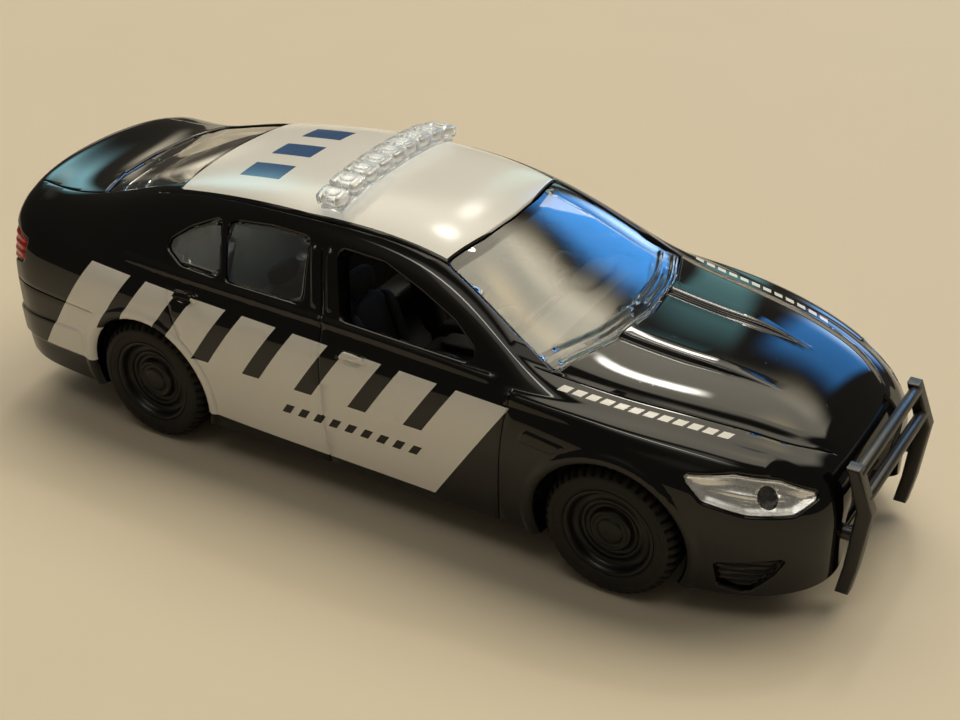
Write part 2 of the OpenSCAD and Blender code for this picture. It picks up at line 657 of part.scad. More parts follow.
module axle() {
    cross_rod(axle_d, 2 * (tyre_inner_y + axle_end_share * tyre_width));
}

module front_axle() {
    color([0.7, 0.7, 0.72]) translate([wheelbase / 2, 0, axle_z]) axle();
}

module rear_axle() {
    color([0.7, 0.7, 0.72]) translate([-wheelbase / 2, 0, axle_z]) axle();
}

// Turns a shape drawn about Z, inner face at zero, into a wheel on the left end of an axle
module wheel_place(x, side) {
    translate([x, 0, axle_z]) mirror([0, side, 0]) translate([0, tyre_inner_y, 0])
        rotate([-90, 0, 0]) children();
}

module rim(x, side) {
    barrel_r = rim_r * rim_barrel_share;
    hub_r = rim_r * hub_share;
    web_z = tyre_width * rim_web_share;
    profile = concat(
        [[axle_r, 0], [hub_r, 0], [hub_r, web_z], [barrel_r, web_z],
            [barrel_r, tyre_width * (1 - tyre_shares[0][1]) / 2],
            [rim_r, tyre_width * (1 - tyre_shares[0][1]) / 2]],
        [for (p = rim_face_shares) [p[0] * rim_r, p[1] * tyre_width]],
        [[0, axle_end_share * tyre_width], [axle_r, axle_end_share * tyre_width]]);
    color([0.06, 0.06, 0.065]) wheel_place(x, side) rotate_extrude($fn = 64) polygon(profile);
}

module tyre(x, side) {
    half = [for (p = tyre_shares) [rim_r + p[0] * (tyre_r - rim_r), p[1] * tyre_width / 2]];
    profile = concat(half, [for (k = [len(half) - 1 : -1 : 0]) [half[k][0], -half[k][1]]]);
    color([0.05, 0.05, 0.05]) wheel_place(x, side) translate([0, 0, tyre_width / 2]) difference() {
        rotate_extrude($fn = 64) polygon(profile);
        for (k = [0 : tread_grooves - 1]) rotate([0, 0, (k + 0.5) * 360 / tread_grooves])
            translate([tyre_r - tread_depth, -tread_groove / 2, -tyre_width])
                cube([tyre_r, tread_groove, 2 * tyre_width]);
    }
}

body_shell();
chassis_plate();
interior_tub();
steering_wheel();
window_glazing();
light_bar();
headlight_lens_right();
headlight_lens_left();
tail_light_right();
tail_light_left();
grille_insert();
push_bar();
front_axle();
rear_axle();
rim(wheelbase / 2, 1);  // rim_front_right
rim(wheelbase / 2, 0);  // rim_front_left
rim(-wheelbase / 2, 1);  // rim_rear_right
rim(-wheelbase / 2, 0);  // rim_rear_left
tyre(wheelbase / 2, 1);  // tyre_front_right
tyre(wheelbase / 2, 0);  // tyre_front_left
tyre(-wheelbase / 2, 1);  // tyre_rear_right
tyre(-wheelbase / 2, 0);  // tyre_rear_left
base_screws();
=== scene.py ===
"""Toy police car: the dressed model of a cast four-door saloon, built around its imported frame."""
import math
import bpy
import numpy as np
from mathutils import Matrix, Vector


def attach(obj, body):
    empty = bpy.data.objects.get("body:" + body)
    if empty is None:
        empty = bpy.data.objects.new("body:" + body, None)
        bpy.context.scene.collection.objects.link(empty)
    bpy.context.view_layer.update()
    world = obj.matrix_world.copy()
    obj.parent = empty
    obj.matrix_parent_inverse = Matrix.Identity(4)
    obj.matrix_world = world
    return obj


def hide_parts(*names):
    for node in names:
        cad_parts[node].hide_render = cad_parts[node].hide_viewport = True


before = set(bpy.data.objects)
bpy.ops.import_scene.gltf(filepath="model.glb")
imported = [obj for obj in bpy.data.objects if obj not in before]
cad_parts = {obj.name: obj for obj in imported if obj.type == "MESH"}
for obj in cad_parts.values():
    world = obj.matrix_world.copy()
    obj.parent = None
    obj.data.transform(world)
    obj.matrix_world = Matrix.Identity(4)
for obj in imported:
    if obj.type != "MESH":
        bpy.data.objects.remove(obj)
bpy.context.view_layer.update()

# Lengths are in millimetres, as in the part's source, and become metres when a mesh is made.
MM = 0.001

# Body
BODY_LENGTH = 78.2
HALF_WIDTH = 15.2
ROOF_HEIGHT = 24.2
TAIL_X = -40.15
NOSE_X = TAIL_X + BODY_LENGTH
WALL = 1.2
FIT_GAP = 0.12
WINDOW_CORNER = 0.6
LAMP_CORNER = 0.3

# Wheels
HALF_WHEELBASE = 22.35
AXLE_Z = 5.6
TYRE_WIDTH = 4.0
TYRE_INNER_Y = 10.7
ARCH_R = 6.3

# Glazing
PANE_INSET = 0.2
GLAZING_LOW_Z = 0.612 * ROOF_HEIGHT

# Stations of the body from tail to nose, as shares of length, half width and height: x, side y,
# sill z, then y and z of the crest, the belt and the rail, and the z of the middle line
STATION_SHARES = np.array([
    [0.010, 0.62, 0.200, 0.58, 0.450, 0.53, 0.490, 0.40, 0.520, 0.535],
    [0.001, 0.80, 0.182, 0.76, 0.540, 0.71, 0.595, 0.53, 0.635, 0.650],
    [-0.0025, 0.89, 0.168, 0.84, 0.638, 0.79, 0.703, 0.61, 0.758, 0.795],
    [0.012, 0.94, 0.160, 0.89, 0.660, 0.83, 0.720, 0.63, 0.780, 0.815],
    [0.065, 0.97, 0.148, 0.92, 0.660, 0.86, 0.708, 0.61, 0.778, 0.798],
    [0.125, 0.985, 0.142, 0.935, 0.650, 0.875, 0.690, 0.58, 0.805, 0.830],
    [0.200, 1.000, 0.138, 0.945, 0.635, 0.885, 0.672, 0.575, 0.878, 0.915],
    [0.290, 0.995, 0.136, 0.945, 0.620, 0.890, 0.658, 0.600, 0.922, 0.968],
    [0.380, 0.990, 0.136, 0.945, 0.611, 0.890, 0.648, 0.630, 0.942, 0.996],
    [0.470, 0.985, 0.136, 0.945, 0.606, 0.890, 0.643, 0.645, 0.943, 1.003],
    [0.560, 0.985, 0.136, 0.945, 0.604, 0.890, 0.640, 0.645, 0.912, 0.970],
    [0.630, 0.985, 0.136, 0.945, 0.603, 0.890, 0.640, 0.695, 0.815, 0.872],
    [0.690, 0.990, 0.136, 0.945, 0.602, 0.893, 0.638, 0.765, 0.695, 0.755],
    [0.735, 0.995, 0.135, 0.945, 0.600, 0.882, 0.625, 0.763, 0.650, 0.697],
    [0.800, 1.000, 0.128, 0.940, 0.584, 0.855, 0.608, 0.725, 0.628, 0.674],
    [0.865, 0.980, 0.112, 0.907, 0.555, 0.803, 0.580, 0.670, 0.608, 0.653],
    [0.925, 0.895, 0.100, 0.815, 0.513, 0.710, 0.538, 0.580, 0.575, 0.615],
    [0.970, 0.763, 0.108, 0.690, 0.463, 0.600, 0.493, 0.480, 0.525, 0.557],
    [0.996, 0.605, 0.125, 0.553, 0.397, 0.487, 0.430, 0.382, 0.455, 0.480],
    [1.003, 0.460, 0.157, 0.434, 0.340, 0.382, 0.364, 0.303, 0.380, 0.397],
    [0.993, 0.316, 0.190, 0.303, 0.290, 0.276, 0.302, 0.224, 0.314, 0.322]])
SIDE_SHARES = [(0.945, 0), (0.965, 0.1), (0.99, 0.34), (1.005, 0.6), (1, 0.84)]
PILLAR_SHARES = [(0.38, 0.42, 0.016), (0.8, 0.84, 0.023)]
ROOF_SHARES = [(1, 0), (0.8, 0.55), (0.45, 0.9), (0, 1)]
INWARD_SHARES = np.array([
    [-1, 0], [-1, 0], [-1, 0], [-1, 0], [-1, 0], [-0.9, -0.5], [-0.8, -0.6], [-0.9, -0.45],
    [-0.85, -0.5], [-0.65, -0.75], [-0.35, -0.95], [-0.15, -1], [0, -1]])
LAST_STATION = len(STATION_SHARES) - 1
MIDDLE = len(INWARD_SHARES) - 1
# Past these stations the inside of the skin also moves along the car
HOLLOW_RANGE = (3.6, 16.2)
# Stations over which the tail's bow in plan fades out, and how far its corners sit ahead of its middle
BOW_RANGE = (2.6, 4.4)
TAIL_BOW = 0.173 * HALF_WIDTH
# Stations that the glazing covers
GLAZING_RANGE = (4.55, 13.35)

# Outlines as shares of length and height, or in plan of length and half width
FRONT_WINDOW_SHARES = [(0.472, 0.868), (0.487, 0.712), (0.630, 0.696), (0.606, 0.750), (0.564, 0.808),
                       (0.517, 0.860)]
REAR_WINDOW_SHARES = [(0.420, 0.876), (0.425, 0.723), (0.339, 0.726), (0.328, 0.858), (0.376, 0.876)]
QUARTER_WINDOW_SHARES = [(0.304, 0.848), (0.315, 0.729), (0.274, 0.735), (0.256, 0.764), (0.275, 0.806)]
WINDSCREEN_SHARES = [(0.746, 0), (0.738, 0.35), (0.714, 0.69), (0.586, 0.555), (0.595, 0.3), (0.598, 0)]
BACKLIGHT_SHARES = [(0.214, 0), (0.216, 0.3), (0.222, 0.455), (0.128, 0.52), (0.116, 0.3), (0.112, 0)]
# Lamp corners as shares of length, half width and height
HEADLIGHT_SHARES = [(0.874, 0.905, 0.512), (0.918, 0.83, 0.515), (0.955, 0.72, 0.492), (0.975, 0.585, 0.448),
                    (0.962, 0.70, 0.424), (0.930, 0.86, 0.430), (0.892, 0.92, 0.462)]
TAIL_LIGHT_SHARES = [(0.004, 0.50, 0.655), (0.004, 0.48, 0.575), (0.018, 0.83, 0.560), (0.050, 0.925, 0.585),
                     (0.052, 0.90, 0.645), (0.015, 0.80, 0.675)]
FOG_SHARES = [(0.910, 0.895, 0.219), (0.963, 0.770, 0.240), (0.957, 0.783, 0.207), (0.935, 0.822, 0.130),
              (0.913, 0.875, 0.153)]
HEADLIGHT_TURN = math.radians(48)
TAIL_LIGHT_TURN = math.radians(135)
GRILLE_Z = (0.21 * ROOF_HEIGHT, 0.425 * ROOF_HEIGHT)
GRILLE_Y = 6.03


def along(share):
    """Place along the body of a share of its length."""
    return TAIL_X + share * BODY_LENGTH


# The camera that took the picture, found from the wheels, windows and lamps
VIEW_AZIMUTH = math.radians(31.286)
VIEW_ELEVATION = math.radians(30.655)
VIEW_ROLL = math.radians(-0.854)
VIEW_SHIFT = (-3.604, -5.481, -146.97)
VIEW_ORIGIN_X = -1.75
VIEW_FOCAL_PIXELS = 1626.21
PICTURE_WIDTH = 960
SENSOR_WIDTH = 36.0


def make_camera():
    """Camera at the picture's viewing angle."""
    lean = Matrix.Rotation(math.pi / 2 - VIEW_ELEVATION, 3, "X")
    axes = Matrix.Rotation(VIEW_AZIMUTH, 3, "Z") @ lean @ Matrix.Rotation(VIEW_ROLL, 3, "Z")
    eye = -(axes @ Vector(VIEW_SHIFT)) + Vector((VIEW_ORIGIN_X, 0, 0))
    data = bpy.data.cameras.new("camera")
    data.sensor_width = SENSOR_WIDTH
    data.lens = VIEW_FOCAL_PIXELS * SENSOR_WIDTH / PICTURE_WIDTH
    data.clip_start = 0.005
    data.clip_end = 20
    camera = bpy.data.objects.new("camera", data)
    camera.matrix_world = Matrix.Translation(eye * MM) @ axes.to_4x4()
    bpy.context.scene.collection.objects.link(camera)
    bpy.context.scene.camera = camera


# The body's skin


def section_points(row):
    """Control points of the section at a station."""
    x, side, sill, crest_y, crest_z, belt_y, belt_z, rail_y, rail_z, top = row
    points = [(a * side, sill + b * (crest_z - sill)) for a, b in SIDE_SHARES]
    points += [(crest_y, crest_z), (belt_y, belt_z)]
    points += [(belt_y + a * (rail_y - belt_y) + c * HALF_WIDTH, belt_z + b * (rail_z - belt_z))
               for a, b, c in PILLAR_SHARES]
    points += [(a * rail_y, rail_z + b * (top - rail_z)) for a, b in ROOF_SHARES]
    left = np.array(points)
    whole = np.concatenate([left, left[-2::-1] * (-1, 1)])
    return np.column_stack([np.full(len(whole), x), whole])


def with_ends(points):
    """A list of control points with one more at each end, mirrored so that the curve meets its ends."""
    return np.concatenate([2 * points[:1] - points[1:2], points, 2 * points[-1:] - points[-2:-1]])


STATION_UNITS = np.array([BODY_LENGTH] + [HALF_WIDTH, ROOF_HEIGHT] * 4 + [ROOF_HEIGHT])
STATIONS = STATION_SHARES * STATION_UNITS
STATIONS[:, 0] += TAIL_X
NET = with_ends(np.array([section_points(row) for row in STATIONS]))
NET = np.swapaxes(with_ends(np.swapaxes(NET, 0, 1)), 0, 1)
INWARD = with_ends(np.concatenate([INWARD_SHARES, INWARD_SHARES[-2::-1] * (-1, 1)]))


def smooth(t):
    t = np.clip(t, 0, 1)
    return t * t * (3 - 2 * t)


def ripple(place, pitch):
    return np.cos(2 * np.pi * place / pitch)


def spline_weights(t):
    rising = -3 * t ** 3 + 3 * t ** 2 + 3 * t + 1
    return np.array([(1 - t) ** 3, 3 * t ** 3 - 6 * t ** 2 + 4, rising, t ** 3]) / 6


def span(t, last):
    """Index of the span that each parameter falls in, and the weights there."""
    index = np.clip(np.floor(t).astype(int), 0, last - 1)
    return index, spline_weights(t - index)


def skin_point(u, v, inset=0.0):
    """Points of the skin at stations u and section places v, moved inward. Past the ends it closes flat."""
    i, along_weights = span(np.clip(u, 0, LAST_STATION), LAST_STATION)
    j, round_weights = span(v, 2 * MIDDLE)
    point = np.zeros((len(u), 3))
    inward = np.zeros((len(u), 2))
    for b in range(4):
        inward += round_weights[b][:, None] * INWARD[j + b]
        for a in range(4):
            point += (along_weights[a] * round_weights[b])[:, None] * NET[i + a, j + b]
    fade = smooth(u) * smooth((BOW_RANGE[1] - u) / (BOW_RANGE[1] - BOW_RANGE[0]))
    point[:, 0] += TAIL_BOW * fade * (point[:, 1] / HALF_WIDTH) ** 2
    inset = np.broadcast_to(inset, len(u))
    back = np.clip((HOLLOW_RANGE[0] - u) / HOLLOW_RANGE[0], 0, 1)
    front = np.clip((u - HOLLOW_RANGE[1]) / (LAST_STATION - HOLLOW_RANGE[1]), 0, 1)
    point[:, 0] += inset * (back - front)
    point[:, 1:] += inset[:, None] * inward
    point[:, 1] *= 1 - np.maximum(-u, 0) - np.maximum(u - LAST_STATION, 0)
    return point


STEP = 0.004


def slope_normal(place, u, v):
    """Outward normals of a surface given by its place function, from small steps."""
    low_u, high_u = np.maximum(u - STEP, -1), np.minimum(u + STEP, LAST_STATION + 1)
    low_v, high_v = np.maximum(v - STEP, 0), v + STEP
    normal = np.cross(place(u, high_v) - place(u, low_v), place(high_u, v) - place(low_u, v))
    size = np.linalg.norm(normal, axis=1)
    flat = size < 1e-9
    normal[flat] = np.column_stack([np.where(u[flat] < 1, -1.0, 1.0), np.zeros((flat.sum(), 2))])
    size[flat] = 1
    return normal / size[:, None]


class Spots:
    """Places on the skin, with their points."""

    def __init__(self, u, v):
        self.x, self.y, self.z = skin_point(u, v).T


def curve(places, at):
    """A smooth line through a few places, read at other places along it."""
    a, b = np.array(sorted(places), float).T
    slope = np.gradient(b, a)
    k = np.clip(np.searchsorted(a, at) - 1, 0, len(a) - 2)
    width = a[k + 1] - a[k]
    t = np.clip((at - a[k]) / width, 0, 1)
    rise = (2 * t ** 3 - 3 * t ** 2 + 1) * b[k] + (3 * t ** 2 - 2 * t ** 3) * b[k + 1]
    return rise + width * ((t ** 3 - 2 * t ** 2 + t) * slope[k] + (t ** 3 - t ** 2) * slope[k + 1])


def outline_gap(a, b, corners):
    """Distance to a closed outline, negative inside it."""
    corners = np.array(corners, float)
    nearest = np.full(len(a), np.inf)
    inside = np.zeros(len(a), bool)
    for start, end in zip(corners, np.roll(corners, -1, 0)):
        run, rise = end - start
        t = np.clip(((a - start[0]) * run + (b - start[1]) * rise) / (run * run + rise * rise), 0, 1)
        nearest = np.minimum(nearest, np.hypot(a - start[0] - t * run, b - start[1] - t * rise))
        if rise != 0:
            crosses = (start[1] > b) != (end[1] > b)
            inside ^= crosses & (a < start[0] + (b - start[1]) * run / rise)
    return np.where(inside, -nearest, nearest)


# A distance no outline reaches, and the far end of an open range
FAR = 50.0


def masked_gap(mask, a, b, corners):
    """Distance to an outline where a mask holds, and far away elsewhere."""
    return np.where(mask, outline_gap(a, b, corners), FAR)


def mirrored_outline(half):
    return half + [(x, -y) for x, y in half[::-1] if y > 0]


def turned(x, y, turn):
    """Place across a view from a corner of the body."""
    return y * math.cos(turn) - x * math.sin(turn)


def within(value, low, high):
    return np.minimum(value - low, high - value)


def reach(**ranges):
    """How far inside some ranges of x, y and z a place is."""
    return lambda s: np.minimum.reduce([within(getattr(s, axis), *limits) for axis, limits in ranges.items()])


def across_x(line):
    """Place ahead of a line that climbs the side."""
    return lambda s: s.x - curve(line, s.z)


def across_y(line):
    """Place outside a line along the car, seen from above."""
    return lambda s: s.y - curve(line, s.x)


def across_z(line):
    """Place above a line along the side."""
    return lambda s: s.z - curve(line, s.x)


# Forms on the skin: each has a gap that cuts it into the mesh at some levels, and a lift
EDGE_R = 0.22
ARCH_EDGE_R = 0.3
# A line's groove or bead fades in over this reach, and its cuts run on past its ends
LINE_FADE = 0.4
LINE_OVERRUN = 0.9


class Opening:
    """A hole through the body whose edge is rounded over."""

    def __init__(self, gap, radius=EDGE_R):
        self.gap, self.radius = gap, radius
        self.levels = [0, 0.15 * radius, 0.45 * radius, radius]

    def near(self, s):
        return self.gap(s) < 3 * self.radius

    def lift(self, s):
        fall = np.clip(self.radius - self.gap(s), 0, self.radius)
        return np.sqrt(self.radius ** 2 - fall ** 2) - self.radius


class Line:
    """A groove or a bead along a line, where its reach is above zero."""

    def __init__(self, gap, reach, width, height):
        self.gap, self.reach, self.width, self.height = gap, reach, width, height
        self.levels = [share * width for share in (-0.5, -0.25, 0, 0.25, 0.5)]

    def near(self, s):
        return self.reach(s) > -LINE_OVERRUN

    def lift(self, s):
        gap = self.gap(s)
        bump = np.where(np.abs(gap) < self.width / 2, 0.5 + 0.5 * ripple(gap, self.width), 0)
        return self.height * bump * smooth(self.reach(s) / LINE_FADE)


class Pad:
    """A raised or sunk field with a soft edge inside its outline."""

    def __init__(self, gap, edge, height):
        self.gap, self.edge, self.height = gap, edge, height
        self.levels = [0, -0.5 * edge, -edge]

    def near(self, s):
        return self.gap(s) < 3 * self.edge

    def lift(self, s):
        return self.height * smooth(-self.gap(s) / self.edge)


def side_opening(shares):
    corners = [(along(a), b * ROOF_HEIGHT) for a, b in shares]
    return Opening(lambda s: outline_gap(s.x, s.z, corners) - WINDOW_CORNER)


def plan_opening(shares):
    corners = mirrored_outline([(along(a), b * HALF_WIDTH) for a, b in shares])
    return Opening(lambda s: masked_gap(s.z > GLAZING_LOW_Z - WALL, s.x, s.y, corners) - WINDOW_CORNER)


def corner_opening(shares, turn, front):
    corners = [(turned(along(a), b * HALF_WIDTH, turn), c * ROOF_HEIGHT) for a, b, c in shares]

    def gap(s):
        return masked_gap((s.x > 0) == front, turned(s.x, s.y, turn), s.z, corners) - LAMP_CORNER

    return Opening(gap)


def arch_gap(s, side):
    return np.hypot(s.x - side * HALF_WHEELBASE, s.z - AXLE_Z) - ARCH_R


front_window = side_opening(FRONT_WINDOW_SHARES)
rear_window = side_opening(REAR_WINDOW_SHARES)
quarter_window = side_opening(QUARTER_WINDOW_SHARES)
windscreen = plan_opening(WINDSCREEN_SHARES)
backlight = plan_opening(BACKLIGHT_SHARES)
headlight = corner_opening(HEADLIGHT_SHARES, HEADLIGHT_TURN, True)
fog_recess = corner_opening(FOG_SHARES, HEADLIGHT_TURN, True)
tail_light = corner_opening(TAIL_LIGHT_SHARES, TAIL_LIGHT_TURN, False)
front_arch, rear_arch = [Opening(lambda s, side=side: arch_gap(s, side), ARCH_EDGE_R) for side in (1, -1)]
GRILLE_CORNER = 0.7
GRILLE_CORNERS = [(GRILLE_Y - 1, GRILLE_Z[1] - GRILLE_CORNER), (GRILLE_Y - 1.6, GRILLE_Z[0] + GRILLE_CORNER),
                  (1.6 - GRILLE_Y, GRILLE_Z[0] + GRILLE_CORNER), (1 - GRILLE_Y, GRILLE_Z[1] - GRILLE_CORNER)]
grille_mouth = Opening(lambda s: masked_gap(s.x > HALF_WHEELBASE, s.y, s.z, GRILLE_CORNERS) - GRILLE_CORNER)
OPENINGS = [front_window, rear_window, quarter_window, windscreen, backlight, headlight, fog_recess,
            tail_light, front_arch, rear_arch, grille_mouth]

# Where the side, the hood and the roof start
SIDE_Y = 8
HOOD_Z = 13
ROOF_Z = 18

# Lines on the skin, as places along the line and across it
SHUT_WIDTH = 0.2
SHUT_DEPTH = -0.17
FRONT_DOOR_LINE = [(3.4, 12.8), (9, 13.2), (15.9, 13.8)]
MIDDLE_DOOR_LINE = [(3.4, -3.4), (15.4, -3.95), (17.2, -4.35), (21.6, -5.5)]
DOOR_ARCH_R = 7.4
DOOR_BEND_Z = 11.5
DOOR_BEND_X = 4.4
DOOR_LEAN = 0.45
TRUNK_FOOT_Z = 9.6
HOOD_LINE = [(14.0, 11.9), (16.45, 11.35), (23.5, 10.3), (30.0, 8.85), (34.2, 7.3), (36.6, 5.4)]
TRUNK_LINE = [(-39.5, 8.2), (-36, 8.7), (-33, 8.8), (-30.4, 8.6)]
BELT_LINE = [(-26, 16.75), (-19, 16.5), (-8, 16.25), (0, 16.05), (12.6, 15.55)]
CREST_LINE = [(14.1, 14.85), (21, 14.5), (28.4, 13.7), (33.5, 12.6)]
RIDGE_LINE = [(17.9, 4.2), (24.6, 3.95), (31.2, 3.45)]
RIDGE_WIDTH = 2.4
RIDGE_HEIGHT = 0.5
# Share of the width at the ridge's point, length of its blunt end, and share of the width on a slope
RIDGE_POINT = 0.2
RIDGE_END = 0.9
RIDGE_SLOPE = 0.6
ARCH_LIP_GAP = 0.62
PILLAR_RIB_SHIFT = 0.75

# Livery, drawn in slanted places on the side: x leaned back with height
SLANT = 0.68
SLANT_FOOT = 3.95
LIVERY_FRONT = 6.9
LIVERY_REAR = -36.05
LIVERY_TOP = [(-30, 16.0), (-20, 15.35), (-8, 14.85), (4, 14.45), (15, 14.1)]
LIVERY_LOW = [(-40, 6.6), (-30.2, 6.1), (-17, 4.7), (8, 3.85)]
SLOT_Z = (10.0, 17.0)
SLOT_WIDTH = 1.75
SLOTS = [-30.6 + 5.3 * k for k in range(7)]
TICKS_Z = (7.4, 8.3)
TICKS = [-9.6 + 1.55 * k for k in range(9)]
TICK_WIDTH = 0.8
ROOF_PANEL = [(6.0, 0), (5.9, 3), (4.9, 8.55), (-8, 8.95), (-21.9, 8.35), (-22.2, 0)]
GUTTER_LINE = [(-24, 8.7), (-21, 8.72), (-8, 9.3), (3, 9.0), (5.6, 8.9)]
ROOF_BLOCKS = [(-1, 1.25), (3.2, 5.7)]
ROOF_BLOCKS_X = (-17.6, -13.4)
DASH_SHIFT = 0.95
DASH_WIDTH = 0.62
DASH_LENGTH = 0.78
DASH_LEAN = 0.45
DASHES = [17.0 + 1.1 * k for k in range(12)]
DASH_LOW = 10


def rear_door_x(z):
    """The rear door's back edge: round the wheel arch, then up to the belt."""
    low = np.clip(z, 0, DOOR_BEND_Z) - AXLE_Z
    round_arch = -HALF_WHEELBASE + np.sqrt(DOOR_ARCH_R ** 2 - np.clip(low, -5, 6.6) ** 2)
    upper = -HALF_WHEELBASE + DOOR_BEND_X - (z - DOOR_BEND_Z) * DOOR_LEAN
    return np.where(z < DOOR_BEND_Z, round_arch, upper)


# Shut lines: the doors' edges, hood, trunk, the trunk's foot, and the bumper's top
SHUT_LINES = [Line(gap, reached, SHUT_WIDTH, SHUT_DEPTH) for gap, reached in [
    (across_x(FRONT_DOOR_LINE), reach(z=(3.0, 15.3))),
    (across_x(MIDDLE_DOOR_LINE), reach(z=(3.0, 21.4))),
    (lambda s: s.x - rear_door_x(s.z), reach(z=(4.6, 15.6))),
    (across_y(HOOD_LINE), reach(x=(14.4, 36.4), z=(10.6, FAR))),
    (across_y(TRUNK_LINE), reach(x=(-41, -30.6), z=(9.5, FAR))),
    (lambda s: s.z - TRUNK_FOOT_Z, reach(x=(-FAR, -37), y=(-FAR, 8.3))),
    (lambda s: s.z - 11.4 + 0.05 * (s.x + 30), reach(x=(-38.6, -28.0), y=(9, FAR)))]]


def ridge_share(s):
    """From 0 at the ridge's point to 1 at its broad end."""
    return np.clip((RIDGE_LINE[-1][0] - s.x) / (RIDGE_LINE[-1][0] - RIDGE_LINE[0][0]), 0, 1)


def ridge_gap(s):
    """Place across the ridge as a share of its half width there."""
    half = (RIDGE_POINT + (1 - RIDGE_POINT) * smooth(ridge_share(s) * 1.6)) * RIDGE_WIDTH / 2
    return across_y(RIDGE_LINE)(s) / half


class Ridge:
    """A blade on the hood that tapers forward, with a nearly flat top."""

    levels = [-1, -0.75, -0.4, 0, 0.4, 0.75, 1]
    gap = staticmethod(ridge_gap)

    def near(self, s):
        return within(s.x, RIDGE_LINE[0][0] - 1.2, RIDGE_LINE[-1][0]) * (s.z > HOOD_Z) > 0

    def lift(self, s):
        end = smooth((s.x - RIDGE_LINE[0][0] + RIDGE_END) / RIDGE_END)
        height = RIDGE_HEIGHT * smooth(ridge_share(s) * 2.5) * end
        return height * smooth((1 - np.abs(ridge_gap(s))) / RIDGE_SLOPE) * (s.z > HOOD_Z)


hood_ridge = Ridge()
gutter = Line(across_y(GUTTER_LINE), reach(x=(-23.5, 5.4), z=(17, FAR)), width=0.3, height=-0.2)
crest_crease = Line(across_z(CREST_LINE), reach(x=(13.2, 33.4), y=(SIDE_Y, FAR)), width=1.3, height=0.24)
belt_bead = Line(across_z(BELT_LINE), reach(x=(-25, 12.3)), width=1.1, height=0.22)
arch_lips = [Line(lambda s, side=side: arch_gap(s, side) - ARCH_LIP_GAP, reach(y=(9, FAR)),
                  width=1.3, height=0.2) for side in (-1, 1)]
pillar_ribs = [Line(across_x([(z, x + shift) for z, x in MIDDLE_DOOR_LINE]), reach(z=(16.9, 21.5)),
                    width=0.7, height=0.2) for shift in (-PILLAR_RIB_SHIFT, PILLAR_RIB_SHIFT)]


def hood_gap(s):
    return np.maximum.reduce([across_y(HOOD_LINE)(s) + 0.1, 12.0 - s.x, s.x - 36.4])


hood_field = Pad(hood_gap, edge=1.4, height=0.2)

# Door handles: a cup sunk in the door and a bar across it
HANDLES = [(-0.5, 14.35), (-17.6, 15.2)]
HANDLE_LENGTH = 2.9
HANDLE_R = 0.36
CUP_LENGTH = 2.0
CUP_R = 0.62
CUP_DROP = 0.15


def capsule_gap(s, place, length, radius):
    half = (length - 2 * radius) / 2
    gap = np.hypot(np.maximum(np.abs(s.x - place[0]) - half, 0), s.z - place[1]) - radius
    return np.where(s.y > SIDE_Y, gap, FAR)


handles = []
for place in HANDLES:
    cup = (place[0], place[1] - CUP_DROP)
    handles.append(Pad(lambda s, p=cup: capsule_gap(s, p, CUP_LENGTH, CUP_R), edge=0.4, height=-0.22))
    handles.append(Pad(lambda s, p=place: capsule_gap(s, p, HANDLE_LENGTH, HANDLE_R), edge=0.22, height=0.42))


def rectangle(half_width, low, high):
    return [(half_width, low), (half_width, high), (-half_width, high), (-half_width, low)]


# Raised panel on the front wing; plate recess, raised bumper band and sunk strip at the tail
WING_CORNERS = [(15.0, 12.0), (15.2, 12.9), (18.9, 12.5), (18.0, 11.7)]
PLATE_CORNERS = rectangle(4.3, 10.6, 13.0)
STRIP_CORNERS = rectangle(7.2, 4.75, 5.2)
WING_CORNER = 0.15
TAIL_CORNER = 0.3
TAIL_FACE_X = -36
BUMPER_FRONT_X = -29.3
BUMPER_Z = (5.9, 9.1)


def tail_pad(corners, height):
    return Pad(lambda s: masked_gap(s.x < TAIL_FACE_X, s.y, s.z, corners) - TAIL_CORNER, 0.3, height)


wing_panel = Pad(lambda s: masked_gap(s.y > SIDE_Y, s.x, s.z, WING_CORNERS) - WING_CORNER,
                 edge=0.3, height=0.12)
plate_recess = tail_pad(PLATE_CORNERS, -0.35)
rear_strip = tail_pad(STRIP_CORNERS, -0.3)


def bumper_gap(s):
    return np.maximum.reduce([s.z - BUMPER_Z[1], BUMPER_Z[0] - s.z, s.x - BUMPER_FRONT_X])


rear_bumper = Pad(bumper_gap, edge=0.5, height=0.22)
PADS = [hood_field, wing_panel, plate_recess, rear_bumper, rear_strip] + handles
BEADS = [belt_bead, hood_ridge, gutter, crest_crease] + arch_lips + pillar_ribs
FORMS = PADS + BEADS + SHUT_LINES + OPENINGS


def body_lift(s):
    """How far the painted surface stands off the plain skin."""
    return sum(form.lift(s) for form in FORMS)


def box_sides(a, a_range, b, b_range):
    """The sides of a printed block in two measures, negative inside."""
    return [a - a_range[1], a_range[0] - a, b_range[0] - b, b - b_range[1]]


def leaned(s):
    return s.x - SLANT * (s.z - SLANT_FOOT)


def livery_sides(s):
    """The sides of the white panel along the car."""
    q = leaned(s)
    return [q - LIVERY_FRONT, LIVERY_REAR - q, across_z(LIVERY_TOP)(s), -across_z(LIVERY_LOW)(s)]


def roof_sides(s):
    return [masked_gap(s.z > ROOF_Z, s.x, s.y, mirrored_outline(ROOF_PANEL))]


def bar_print(place, width, heights):
    """A slanted bar or tick on the side."""
    return lambda s: box_sides(leaned(s) - place, (-width / 2, width / 2), s.z, heights)


def roof_print(block):
    return lambda s: box_sides(s.x, ROOF_BLOCKS_X, s.y, block) + [ROOF_Z - s.z]


